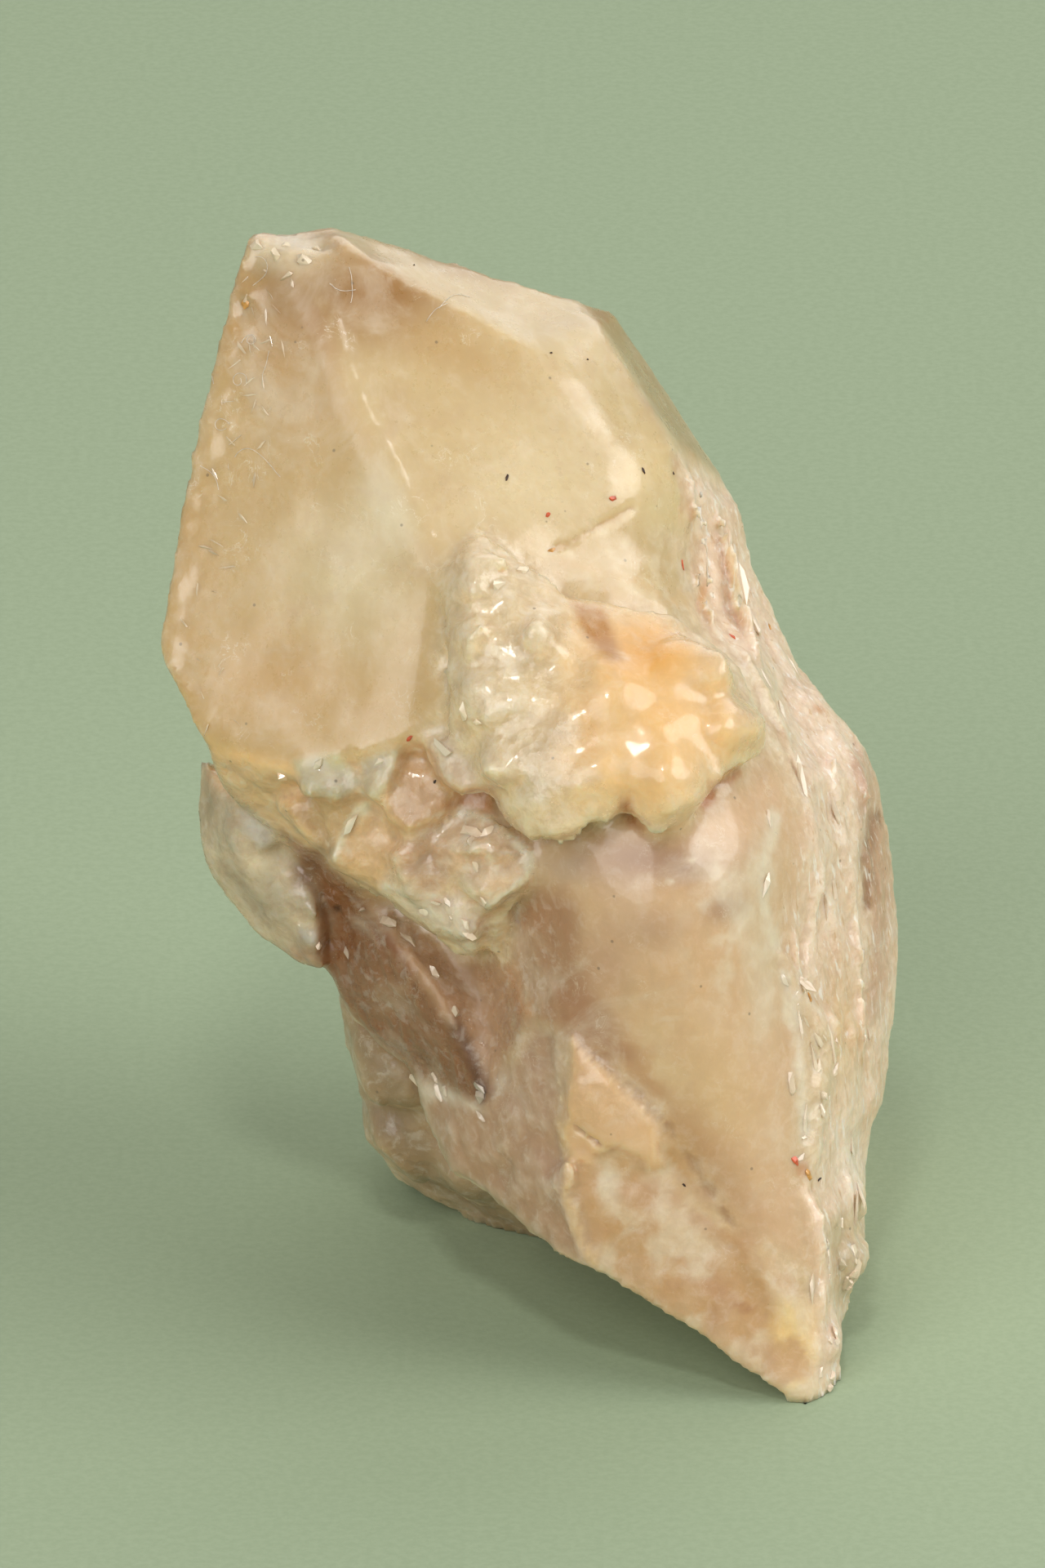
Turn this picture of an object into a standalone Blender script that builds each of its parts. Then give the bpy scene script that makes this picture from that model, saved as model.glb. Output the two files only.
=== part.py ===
"""Raw citrine: a lone quartz crystal on its rough matrix, grown and broken as one stone.

Corner points are (u, v, w) in millimetres in the frame of a viewer who looks along +Y from
VIEW_ELEVATION_DEG above the horizon. u runs to the viewer's right, v up the view and w towards
the viewer. The front foot of the stone, the chip it stands on, is u 17.3, v 0, w 0.
"""

import math

import bpy
import bmesh
from mathutils import Matrix, Vector
from mathutils.geometry import delaunay_2d_cdt

MM = 0.001
VIEW_ELEVATION_DEG = 25.0
SIN_E = math.sin(math.radians(VIEW_ELEVATION_DEG))
COS_E = math.cos(math.radians(VIEW_ELEVATION_DEG))
CENTRE_X = 0.45
CENTRE_Y = 24.4
MERGE_MM = 0.002
CDT_EPSILON = 0.001
LUMP_ROUGHNESS = 0.07
# Waves per ball radius along each axis, and how each lump's place shifts them.
LUMP_WAVES = (5.1, 4.3, 4.7)
LUMP_SHIFTS = (1.7, 2.3, 1.9)
# A quartz prism: its sides, how unevenly wide they are and how its shoulders slope.
PRISM_SIDES = 6
PRISM_UNEVEN = 0.12
SHOULDER_SLOPE = 0.3
# A splinter's widest place along its run, its narrower side and its roots, in its own height.
SPLINTER_WIDEST = 0.42
SPLINTER_NARROW_SIDE = 0.8
SPLINTER_END_ROOT = 1.6
SPLINTER_MIDDLE_ROOT = 2.4
SPLINTER_PLANE = (0.6, 0.0, 0.8)
SPLINTER_LIFT = (0.5, 0.0, 0.86)
CITRINE_COLOUR = (0.72, 0.60, 0.43, 1.0)
CITRINE_ROUGHNESS = 0.28
QUARTZ_IOR = 1.544


def on_floor(x, y):
    """The view-frame point at x and y millimetres on the surface that the stone stands on."""
    return (x, y * SIN_E, -y * COS_E)


def to_world(point):
    """View-frame millimetres to the part's own frame in metres."""
    u, v, w = point
    x = u - CENTRE_X
    y = v * SIN_E - w * COS_E - CENTRE_Y
    z = v * COS_E + w * SIN_E
    return Vector((x, y, z)) * MM


# Front foot, three corners of the chip that bears on the surface and two behind it.
FOOT_TIP = (17.3, 0.0, 0.0)
FOOT_RIGHT = on_floor(18.1, 0.6)
FOOT_OUTER = on_floor(19.2, 2.1)
FOOT_BACK = on_floor(18.4, 5.4)
FOOT_LEFT = on_floor(16.6, 2.6)

# Outline of the crystal and its front mass, clockwise from the broken apex.
TOP_RIM = [
    (-17.0, 71.2, 0.0),
    (-16.5, 72.0, -1.0),
    (-14.3, 71.9, -2.0),
    (-11.9, 72.4, -3.0),
    (-9.5, 71.7, -4.0),
    (-2.0, 69.4, -6.0),
    (3.0, 68.0, -7.5),
    (5.7, 67.1, -9.5),
]
RIGHT_RIM = [
    (6.8, 65.4, -11.0),
    (9.2, 62.0, -12.0),
    (10.5, 59.8, -12.0),
    (12.7, 56.4, -11.0),
    (13.5, 54.8, -10.0),
    (14.2, 51.3, -10.5),
    (15.5, 48.9, -11.0),
    (17.2, 45.0, -11.0),
    (18.7, 43.4, -9.5),
    (21.1, 40.6, -10.0),
    (22.0, 38.5, -11.0),
    (22.5, 36.3, -12.0),
    (23.2, 31.0, -12.5),
    (23.3, 28.4, -13.0),
    (23.0, 23.3, -12.5),
    (22.6, 20.5, -12.0),
    (22.3, 18.3, -11.5),
    (21.5, 17.0, -10.0),
    (21.2, 14.5, -10.5),
    (21.1, 11.9, -10.0),
    (21.3, 10.0, -9.5),
    (21.0, 8.2, -9.0),
    (20.2, 6.7, -8.0),
    (19.7, 4.8, -6.0),
    (19.8, 3.5, -5.0),
]
FOOT_RIM = [FOOT_OUTER, FOOT_RIGHT, FOOT_TIP]
LOWER_RIM = [
    (16.1, 0.4, 0.2),
    (14.7, 1.3, 0.3),
    (12.8, 2.6, 0.5),
    (11.0, 4.1, 0.5),
    (9.1, 5.2, 0.5),
    (6.1, 7.2, 0.5),
    (4.6, 8.1, 0.3),
    (3.6, 8.5, 0.0),
    (2.3, 9.0, -1.0),
    (1.3, 9.8, -2.0),
    (-0.3, 11.1, -3.5),
    (-2.7, 13.2, -6.0),
    (-4.6, 14.1, -7.5),
    (-6.0, 17.0, -8.5),
    (-6.9, 20.3, -8.5),
]
HOLLOW_RIM = [
    (-9.0, 21.9, -9.0),
    (-11.4, 24.8, -10.0),
    (-12.3, 27.0, -10.0),
    (-12.7, 31.0, -8.0),
    (-13.6, 33.2, -6.0),
    (-15.2, 35.1, -3.0),
    (-17.6, 36.7, -2.5),
    (-18.6, 37.8, -2.0),
]
LEFT_RIM = [
    (-19.4, 40.5, 1.0),
    (-20.2, 41.8, 0.9),
    (-21.0, 43.6, 0.4),
    (-22.0, 45.5, -0.2),
    (-22.4, 46.6, -0.5),
    (-22.1, 48.2, -0.5),
    (-21.6, 50.8, -0.5),
    (-21.2, 53.7, -0.5),
    (-20.4, 57.5, -0.5),
    (-19.4, 62.3, -0.4),
    (-18.1, 67.6, -0.2),
]
BODY_RIM = TOP_RIM + RIGHT_RIM + FOOT_RIM + LOWER_RIM + HOLLOW_RIM + LEFT_RIM

# Edges and corners of the front. Points of one list are joined by a ridge or a valley.
CROWN_FRONT = [
    # ridge between the large left face and the middle face
    [
        (-14.3, 71.9, -2.0),
        (-14.5, 70.2, 1.2),
        (-11.3, 65.6, 3.1),
        (-10.1, 61.5, 4.0),
        (-7.7, 57.2, 5.4),
        (-5.1, 52.0, 6.6),
    ],
    # ridge between the middle face and the narrow face along the top
    [
        (-11.9, 72.4, -3.0),
        (-10.8, 71.2, 0.6),
        (-8.8, 69.7, 0.8),
        (-4.8, 67.6, 0.6),
        (0.3, 64.9, 0.3),
        (2.7, 63.3, 0.3),
        (4.8, 59.9, 1.0),
        (6.8, 57.1, 1.5),
        (8.3, 53.2, 0.3),
    ],
    # ridge between the narrow face and the dull face at the far right
    [
        (3.0, 68.0, -7.5),
        (4.8, 66.1, -4.0),
        (6.2, 63.8, -3.2),
        (7.7, 61.3, -2.6),
        (9.2, 59.0, -2.4),
        (9.9, 56.1, -2.4),
        (10.6, 52.9, -4.2),
    ],
    [(9.2, 59.0, -2.4), (10.6, 58.3, -6.0), (12.7, 56.4, -11.0)],
    # step down into the bright recess above the druse, and its floor rising outward
    [(0.8, 52.6, 4.6), (3.0, 53.6, 3.8), (6.0, 54.2, 2.6), (8.3, 53.2, 0.3)],
    [(1.7, 51.9, 3.4), (3.6, 52.7, 2.4), (6.2, 53.1, 1.2), (8.2, 52.0, -0.8)],
    [(2.4, 49.8, 4.4), (5.0, 49.9, 4.0), (8.4, 49.3, 2.0)],
    [(-2.0, 46.0, 6.0), (4.0, 46.0, 5.0), (10.0, 45.0, 2.0)],
    [(-1.0, 41.0, 6.5), (5.0, 41.0, 6.5), (11.5, 41.0, 3.6)],
    # broken lower edge of the large left face and the ledge below it
    [
        (-19.4, 40.5, 1.0),
        (-15.0, 38.8, 3.3),
        (-10.6, 39.6, 5.2),
        (-7.0, 40.9, 6.4),
        (-4.8, 42.7, 7.6),
    ],
    [
        (-18.6, 37.8, -2.0),
        (-14.8, 37.3, 0.4),
        (-10.4, 38.0, 1.8),
        (-6.5, 38.9, 3.2),
        (-3.2, 38.9, 5.0),
    ],
    [(-15.2, 35.1, -3.0), (-11.4, 34.6, 0.9), (-7.6, 34.8, 2.2), (-4.0, 36.2, 3.6)],
    [(-13.6, 33.2, -6.0), (-10.0, 31.6, -2.2), (-7.6, 32.0, -0.8)],
]
FACE_FRONT = [
    # top of the smooth lower face, under the druse
    [(1.5, 37.0, 5.4), (6.0, 38.4, 7.2), (12.5, 38.6, 4.8)],
    [(1.2, 34.6, 6.4), (4.6, 34.7, 8.5), (9.0, 34.9, 9.2), (13.2, 35.2, 6.8)],
    # the swell of the face, row by row downward
    [(0.6, 32.4, 5.0), (3.8, 31.9, 8.2), (8.2, 32.0, 9.7), (12.6, 32.0, 7.6), (15.4, 32.6, 4.2)],
    [(1.1, 29.4, 4.2), (4.1, 28.9, 7.6), (8.6, 28.8, 9.2), (13.0, 28.8, 7.0)],
    [(1.0, 26.6, 3.2), (4.3, 25.6, 6.6), (9.4, 25.4, 8.0), (13.6, 25.4, 5.6)],
    [(6.8, 22.4, 6.0), (11.0, 21.6, 6.4), (15.0, 21.6, 4.0)],
    [(11.6, 17.2, 5.0), (15.2, 16.4, 3.2)],
    [(14.9, 11.2, 2.6)],
    # left wall of the front mass, beside the smoky hollow
    [
        (0.6, 32.4, 5.0),
        (0.8, 30.0, 3.6),
        (0.1, 26.6, 2.0),
        (0.2, 24.4, 1.8),
        (-0.8, 21.8, 0.2),
        (0.2, 20.0, 1.0),
    ],
    # the long step across the lower face
    [
        (2.5, 22.9, 4.6),
        (4.4, 21.3, 4.6),
        (8.5, 17.9, 4.4),
        (12.9, 11.1, 2.9),
        (15.6, 6.0, 1.5),
    ],
    [
        (2.2, 22.1, 3.4),
        (4.1, 20.6, 3.4),
        (8.2, 17.3, 3.3),
        (12.5, 10.6, 2.2),
        (15.2, 5.7, 1.1),
    ],
    # ridge between the lilac face and the cream face
    [
        (2.2, 22.1, 3.4),
        (2.4, 17.1, 2.3),
        (2.9, 15.0, 2.2),
        (2.6, 13.0, 1.8),
        (3.5, 10.2, 1.0),
        (4.6, 8.1, 0.3),
    ],
    [(6.6, 12.6, 2.6), (9.2, 9.0, 1.8), (12.6, 5.0, 1.2)],
    [(-3.0, 16.2, -3.6), (0.2, 15.4, -0.2), (0.6, 12.6, -0.9)],
]
HOLLOW_FRONT = [
    # lower edge of the smoky face
    [(-6.9, 20.3, -8.5), (-3.8, 19.1, -4.2), (-2.4, 18.3, -2.4), (0.2, 20.0, 1.0)],
    # ridge that splits the smoky hollow, and the valley to its right
    [
        (-9.8, 30.4, -4.6),
        (-7.8, 28.4, -2.0),
        (-5.5, 25.8, -0.8),
        (-4.3, 23.3, -0.8),
        (-2.8, 20.4, -1.4),
        (-2.4, 18.3, -2.4),
    ],
    [(-8.2, 30.9, -5.0), (-4.4, 27.0, -4.8), (-2.2, 23.8, -3.6), (-1.7, 20.8, -2.2)],
    [(-9.6, 25.4, -6.4)],
    [(-4.2, 32.6, 1.0), (-1.4, 31.2, 1.0)],
]
FLANK_FRONT = [
    # edge between the smooth lower face and the splintered flank
    [
        (14.6, 44.2, -1.6),
        (17.4, 38.2, -0.8),
        (17.2, 34.0, 0.8),
        (16.4, 30.5, 1.8),
        (15.9, 27.6, 1.8),
        (17.2, 25.0, 0.8),
        (19.0, 21.7, -1.0),
        (18.2, 18.8, 0.4),
        (17.2, 13.0, 1.2),
        (18.4, 10.4, 0.4),
        (18.6, 7.4, 0.1),
        (17.9, 3.6, 0.2),
        FOOT_TIP,
    ],
    # groove from the shoulder down to the edge
    [(10.6, 52.9, -4.2), (10.9, 49.1, -3.2), (11.7, 47.2, -1.6), (14.6, 44.2, -1.6)],
    [(12.4, 52.0, -6.4), (13.6, 48.2, -6.6), (16.2, 43.4, -5.4), (18.9, 38.6, -4.2)],
    [
        (18.9, 38.6, -4.2),
        (19.3, 34.0, -3.4),
        (19.0, 29.5, -3.4),
        (20.2, 25.0, -5.0),
        (20.8, 20.5, -6.0),
        (20.1, 17.9, -4.2),
        (20.0, 16.5, -4.2),
        (20.4, 13.8, -5.0),
        (20.0, 10.4, -5.2),
        (19.7, 7.4, -4.4),
        (18.9, 4.2, -2.6),
        FOOT_OUTER,
    ],
    # bulge of the outer flank
    [(20.8, 38.4, -7.0), (21.6, 33.0, -7.4), (21.6, 27.6, -7.6)],
]
BODY_FRONT = CROWN_FRONT + FACE_FRONT + HOLLOW_FRONT + FLANK_FRONT

# Back corners of the prism, where its hidden side faces begin, and the edges from them.
BACK_LOW = (-6.0, 40.4, -30.0)
BACK_HIGH = (5.8, 51.8, -27.0)
BACK_LEFT = (-17.6, 41.4, -15.0)
BODY_BACK = [
    [(-14.3, 71.9, -2.0), (-10.2, 56.8, -15.6), BACK_LOW],
    [(-14.3, 71.9, -2.0), (-4.2, 62.4, -14.2), BACK_HIGH],
    [(-16.5, 72.0, -1.0), BACK_LEFT, (-20.2, 41.8, 0.9)],
    [BACK_LEFT, BACK_LOW, BACK_HIGH],
    [(-22.1, 48.2, -0.5), BACK_LEFT],
    [(-22.4, 46.6, -0.5), BACK_LEFT],
    [(-22.0, 45.5, -0.2), BACK_LEFT],
    [(5.7, 67.1, -9.5), (7.4, 61.0, -18.0), BACK_HIGH],
    [BACK_LOW, (-0.4, 30.6, -31.5), (5.0, 21.4, -30.0)],
    [BACK_HIGH, (11.6, 41.6, -28.0), (17.6, 31.0, -26.0), (18.6, 20.0, -24.5)],
    [BACK_LEFT, (-14.6, 35.4, -14.6), (-11.6, 29.6, -17.0), (-7.4, 22.6, -17.0)],
    [(12.7, 56.4, -11.0), (12.0, 50.6, -20.0), (17.6, 41.8, -20.0), (20.6, 31.0, -20.0)],
    [(20.6, 31.0, -20.0), (20.8, 19.0, -18.0), (20.0, 11.8, -15.6)],
    # the underside, lifted off the surface behind the front edge
    [(-4.6, 14.1, -7.5), (-2.2, 15.8, -14.0), (1.0, 17.0, -22.0)],
    [(1.3, 9.8, -2.0), (3.2, 12.6, -11.0), (5.0, 21.4, -30.0)],
    [(6.1, 7.2, 0.5), (8.6, 9.0, -8.6), (13.0, 12.4, -20.0)],
    [(12.8, 2.6, 0.5), (14.4, 5.6, -7.6), (16.6, 10.4, -18.0)],
    [(16.1, 0.4, 0.2), FOOT_LEFT, FOOT_BACK, FOOT_OUTER],
]

# Rough base behind the front mass: a far left lobe and the block the stone rests on.
LOBE = [
    (-11.6, 25.6, -13.0),
    (-11.2, 23.2, -15.0),
    (-10.5, 21.4, -16.0),
    (-9.9, 18.8, -18.5),
    (-9.5, 16.4, -21.0),
    (-9.0, 14.8, -23.5),
    (-8.0, 13.6, -24.5),
    (-6.9, 12.7, -24.0),
    (-5.2, 12.1, -22.8),
    on_floor(-2.4, 25.1),
    on_floor(-0.6, 24.4),
    on_floor(1.3, 23.2),
    (-6.4, 20.6, -12.6),
    (-3.0, 14.4, -15.0),
    (1.8, 11.6, -15.0),
    (-8.6, 22.8, -12.0),
    (-8.4, 21.0, -31.0),
    on_floor(-6.6, 38.0),
    (0.0, 24.0, -24.0),
]
BASE = [
    on_floor(0.0, 25.0),
    on_floor(7.0, 22.0),
    on_floor(16.0, 23.0),
    on_floor(19.4, 28.5),
    on_floor(15.5, 38.5),
    on_floor(5.0, 42.0),
    on_floor(-5.5, 39.0),
    (-7.6, 24.0, -30.4),
    (-6.0, 32.0, -28.0),
    (4.4, 35.0, -32.6),
    (13.0, 28.0, -32.0),
    (17.6, 30.0, -27.0),
    (21.0, 17.0, -20.0),
    (10.0, 18.0, -13.0),
    (1.0, 18.0, -15.0),
]

# Glassy greenish crystal that sticks out at the left, under the large face.
SHARD = [
    (-19.8, 39.6, -8.0),
    (-20.1, 36.6, -9.0),
    (-19.8, 33.6, -9.6),
    (-19.0, 31.9, -9.8),
    (-16.4, 28.7, -9.8),
    (-13.6, 26.8, -9.4),
    (-12.2, 26.4, -8.0),
    (-12.7, 29.2, -6.4),
    (-13.7, 32.0, -5.6),
    (-17.6, 36.9, -4.6),
    (-18.0, 34.6, -5.4),
    (-15.4, 30.6, -6.6),
    (-17.2, 38.4, -18.0),
    (-17.0, 32.4, -18.0),
    (-12.6, 28.4, -18.0),
    (-11.0, 36.0, -14.0),
]

# Druse crust across the middle: scalloped outline, lumps on it, and where it is rooted.
DRUSE_RIM = [
    (-5.3, 51.1, 6.6),
    (-3.7, 52.5, 6.4),
    (-2.5, 53.2, 6.2),
    (-1.1, 52.5, 6.0),
    (0.6, 51.4, 6.2),
    (2.0, 49.6, 6.8),
    (2.8, 49.5, 6.2),
    (4.9, 49.4, 5.8),
    (7.4, 48.7, 5.4),
    (9.6, 48.3, 4.4),
    (10.6, 47.3, 4.0),
    (12.3, 46.4, 3.0),
    (13.5, 45.2, 2.6),
    (14.2, 43.4, 3.0),
    (15.0, 41.5, 3.6),
    (15.2, 40.4, 4.4),
    (14.5, 39.4, 6.0),
    (13.1, 39.2, 7.6),
    (12.2, 38.3, 8.8),
    (11.4, 37.4, 9.4),
    (10.9, 36.6, 9.8),
    (9.6, 35.3, 10.6),
    (8.2, 35.2, 11.0),
    (7.2, 35.5, 11.0),
    (6.3, 36.4, 10.4),
    (5.6, 35.9, 11.2),
    (4.2, 35.9, 11.2),
    (3.1, 35.0, 11.2),
    (1.7, 35.0, 10.8),
    (0.5, 34.5, 10.0),
    (-0.6, 35.0, 9.2),
    (-1.6, 36.6, 9.0),
    (-1.8, 37.6, 8.8),
    (-2.5, 38.7, 8.6),
    (-3.4, 40.2, 8.4),
    (-4.6, 41.1, 8.2),
    (-4.4, 43.8, 8.6),
    (-5.3, 44.8, 8.2),
    (-4.4, 46.6, 8.4),
]
DRUSE_FRONT = [
    [(-3.4, 49.8, 8.4), (-1.6, 50.2, 8.6), (0.2, 48.8, 8.8)],
    [(-3.0, 47.2, 9.4), (-0.6, 46.6, 9.8), (1.4, 46.4, 9.4)],
    [(-3.0, 44.0, 9.8), (-1.6, 43.0, 10.8), (0.6, 43.4, 10.8)],
    [(-2.8, 41.2, 9.6), (-0.6, 40.2, 11.2), (0.6, 38.0, 12.0), (0.8, 36.2, 11.6)],
    # brown wedge and the steep edge beside it
    [(2.8, 49.5, 6.2), (4.2, 46.8, 8.2), (5.8, 45.2, 9.6)],
    [(2.2, 46.6, 9.6), (2.8, 43.6, 11.0), (2.6, 40.4, 12.0)],
    [(7.0, 46.2, 8.2), (9.6, 44.6, 8.6), (12.4, 43.2, 6.4)],
    [(5.6, 42.6, 11.2), (8.6, 41.4, 11.6), (12.0, 41.4, 8.8)],
    [(3.4, 37.8, 12.4), (5.6, 38.6, 12.2), (8.4, 37.6, 12.4), (10.6, 38.8, 11.2)],
]
DRUSE_ROOT = [
    [(-2.5, 53.2, 6.2), (-2.6, 49.0, 2.0), (-2.4, 44.0, 2.0), (-0.4, 39.4, 3.4)],
    [(1.4, 48.0, 1.0), (5.4, 46.4, 1.0), (9.8, 45.4, 0.4)],
    [(2.2, 38.0, 4.4), (5.4, 38.6, 5.0), (9.4, 38.4, 4.6), (12.4, 41.2, 1.4)],
]

# Lumpy clear chunk below and left of the druse.
CHUNK_RIM = [
    (-3.1, 36.3, 5.0),
    (-1.6, 35.5, 6.0),
    (0.4, 33.8, 6.0),
    (0.6, 32.2, 5.4),
    (-0.7, 30.0, 3.4),
    (-1.0, 28.4, 1.2),
    (-1.5, 27.4, 0.2),
    (-2.3, 28.3, 1.4),
    (-3.8, 27.2, 0.2),
    (-4.5, 27.7, 0.4),
    (-6.2, 29.3, 0.2),
    (-8.3, 31.7, 0.2),
    (-7.5, 33.0, 1.4),
    (-5.9, 33.6, 2.6),
    (-4.5, 35.2, 4.0),
]
CHUNK_FRONT = [
    [(-6.2, 31.6, 3.0), (-4.6, 30.4, 3.4), (-3.4, 29.4, 2.8)],
    [(-4.6, 32.8, 4.6), (-2.8, 32.0, 5.2), (-1.6, 30.8, 4.2)],
    [(-2.8, 34.4, 6.2), (-1.0, 33.4, 6.6)],
]
CHUNK_ROOT = [
    [(-1.5, 27.4, 0.2), (-3.2, 30.6, -5.6)],
    [(-5.4, 32.0, -5.0), (-3.2, 30.6, -5.6), (-1.4, 33.0, -2.0)],
]

# Cream plate stuck on the lower face.
PLATE_RIM = [
    (2.6, 22.9, 4.6),
    (3.6, 22.2, 4.8),
    (4.4, 20.9, 4.6),
    (5.3, 20.5, 4.6),
    (6.6, 19.2, 4.4),
    (7.6, 18.1, 4.3),
    (8.4, 17.3, 4.2),
    (8.8, 15.8, 3.6),
    (8.4, 14.8, 3.4),
    (7.1, 14.5, 3.4),
    (6.1, 15.0, 3.6),
    (5.4, 15.8, 3.6),
    (4.3, 16.1, 3.6),
    (3.3, 16.9, 3.4),
    (2.3, 17.6, 3.2),
    (2.1, 21.7, 3.6),
]
PLATE_FRONT = [[(3.2, 20.2, 4.9), (4.4, 18.2, 4.7), (6.4, 17.0, 4.7), (7.4, 16.0, 4.4)]]
PLATE_ROOT = [[(2.6, 22.9, 4.6), (3.2, 20.4, 1.0), (4.6, 18.2, 1.0), (6.6, 16.8, 1.0)]]
TAB = [
    (1.7, 13.5, 1.6),
    (1.8, 14.4, 1.8),
    (2.7, 15.0, 2.9),
    (3.3, 14.2, 3.2),
    (3.1, 13.2, 2.8),
    (2.2, 13.0, 1.6),
    (2.6, 14.2, -1.0),
]

# Small flake under the left end of the druse.
FLAKE = [
    (-6.1, 40.5, 6.8),
    (-5.6, 39.0, 6.4),
    (-4.9, 37.8, 5.8),
    (-3.5, 38.0, 6.4),
    (-2.0, 37.9, 7.0),
    (-2.6, 39.0, 8.4),
    (-4.2, 40.6, 8.6),
    (-5.2, 40.4, 8.2),
    (-3.6, 40.0, 2.0),
    (-2.4, 38.6, 2.0),
]

# Glassy blocks on the ledge under the large left face.
LEDGE_BLOCKS = [
    [
        (-13.4, 38.9, 3.6),
        (-12.2, 39.4, 4.6),
        (-10.4, 38.6, 4.6),
        (-9.8, 36.0, 3.2),
        (-11.6, 34.2, 2.0),
        (-12.6, 36.6, 2.4),
        (-11.8, 37.6, -1.0),
    ],
    [
        (-9.6, 39.8, 5.0),
        (-7.6, 40.4, 6.0),
        (-7.0, 38.2, 4.8),
        (-8.4, 36.6, 3.8),
        (-9.6, 37.8, 4.2),
        (-8.2, 38.6, 0.0),
    ],
    [
        (-11.3, 33.6, 1.0),
        (-9.2, 36.6, 3.0),
        (-7.4, 34.6, 3.2),
        (-7.7, 32.1, 1.6),
        (-9.4, 31.4, 0.0),
        (-9.0, 34.0, -3.0),
    ],
    [
        (-7.2, 36.8, 4.0),
        (-5.2, 37.6, 5.4),
        (-4.0, 36.4, 5.0),
        (-5.6, 34.6, 3.6),
        (-7.0, 35.2, 3.2),
        (-5.6, 36.0, -1.0),
    ],
]

# Rounded lumps: centre, then the three half-widths along u, v and w.
DRUSE_LUMPS = [
    ((-2.8, 50.4, 5.6), (2.6, 2.6, 3.0)),
    ((-3.0, 46.8, 6.6), (1.9, 2.2, 3.1)),
    ((-2.4, 43.2, 7.6), (2.3, 2.4, 3.1)),
    ((-0.8, 39.6, 8.6), (2.2, 2.6, 3.0)),
    ((1.6, 37.6, 9.0), (2.6, 2.8, 3.3)),
    ((4.8, 38.4, 9.6), (2.3, 2.6, 3.1)),
    ((8.7, 38.2, 9.4), (2.8, 3.0, 3.2)),
    ((12.0, 41.2, 5.6), (2.9, 2.6, 4.2)),
    ((0.6, 46.0, 7.6), (2.8, 3.2, 2.9)),
    ((5.4, 42.6, 8.6), (3.4, 3.4, 3.1)),
    ((9.6, 44.4, 5.6), (3.2, 2.8, 3.8)),
]
CHUNK_LUMPS = [
    ((-5.4, 31.6, 0.6), (2.0, 1.8, 3.2)),
    ((-3.6, 29.8, 0.6), (1.8, 2.0, 3.2)),
    ((-2.2, 32.0, 2.6), (2.0, 1.8, 3.2)),
    ((-3.2, 34.2, 3.2), (2.2, 1.6, 3.2)),
    ((-1.0, 33.6, 3.8), (1.3, 1.4, 3.0)),
]
BASE_LUMPS = [
    ((-6.4, 17.0, -20.0), (3.4, 3.8, 4.2)),
    ((-7.6, 21.4, -15.5), (3.1, 3.6, 4.0)),
    ((-2.6, 14.6, -18.6), (3.4, 3.0, 3.8)),
    ((18.6, 4.0, -2.6), (1.2, 1.9, 1.8)),
    ((19.6, 8.8, -5.8), (1.6, 2.4, 2.8)),
    ((19.8, 12.6, -6.6), (1.4, 2.2, 2.8)),
    ((3.6, 27.0, -30.0), (4.6, 4.6, 4.6)),
    ((-2.6, 25.0, -28.0), (4.2, 4.4, 4.8)),
    ((12.6, 26.0, -27.0), (5.0, 5.0, 4.6)),
    ((16.6, 18.0, -22.6), (3.8, 4.0, 4.4)),
]
# Shell-shaped chips broken out of the apex, and the small hole in the smoky hollow.
CHIPS = [
    ((-16.6, 70.4, 1.5), (1.5, 1.9, 1.9)),
    ((-14.2, 70.3, 2.6), (1.5, 1.3, 1.9)),
    ((-12.4, 71.3, 1.0), (1.2, 0.8, 1.9)),
    ((-17.3, 67.3, 1.4), (1.0, 1.6, 1.6)),
    ((-11.5, 30.1, -6.2), (0.5, 0.4, 1.2)),
]

# Splinters down the right flank: start, end, half-width and height.
SPLINTERS = [
    ((10.9, 57.2, -3.0), (12.0, 46.4, -1.8), 0.25, 0.45),
    ((12.4, 55.4, -6.2), (14.9, 44.0, -3.4), 0.3, 0.5),
    ((13.8, 46.4, -2.2), (17.6, 37.6, -1.0), 0.3, 0.5),
    ((17.7, 38.8, -1.6), (18.2, 28.0, -0.8), 0.3, 0.5),
    ((16.4, 32.4, 1.6), (17.6, 23.0, 0.7), 0.3, 0.45),
    ((18.7, 34.2, -3.0), (20.0, 23.0, -4.2), 0.3, 0.5),
    ((20.4, 34.0, -5.2), (21.3, 20.6, -6.2), 0.35, 0.6),
    ((17.8, 25.0, 0.0), (18.4, 14.0, 0.4), 0.3, 0.45),
    ((19.6, 25.4, -4.0), (20.0, 15.6, -4.0), 0.3, 0.5),
    ((17.4, 15.4, 1.0), (18.7, 6.6, 0.2), 0.3, 0.4),
    ((16.0, 43.6, -5.0), (20.0, 33.0, -4.6), 0.35, 0.6),
]

# Hidden side: lesser crystals grown on the back, as foot, tip, radius, flattening, turn and cap.
BACK_CRYSTALS = [
    ((7.0, 23.0, -24.0), (-9.4, 51.6, -28.4), 6.6, 0.82, 12.0, 8.5),
    ((4.0, 33.0, -22.0), (11.4, 41.6, -33.6), 4.6, 0.9, 35.0, 5.0),
    ((8.0, 28.0, -22.0), (17.4, 27.4, -31.4), 3.8, 0.9, 5.0, 4.0),
    ((-9.0, 34.0, -12.0), (-13.8, 31.4, -22.0), 3.6, 0.95, 20.0, 4.0),
]
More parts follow.
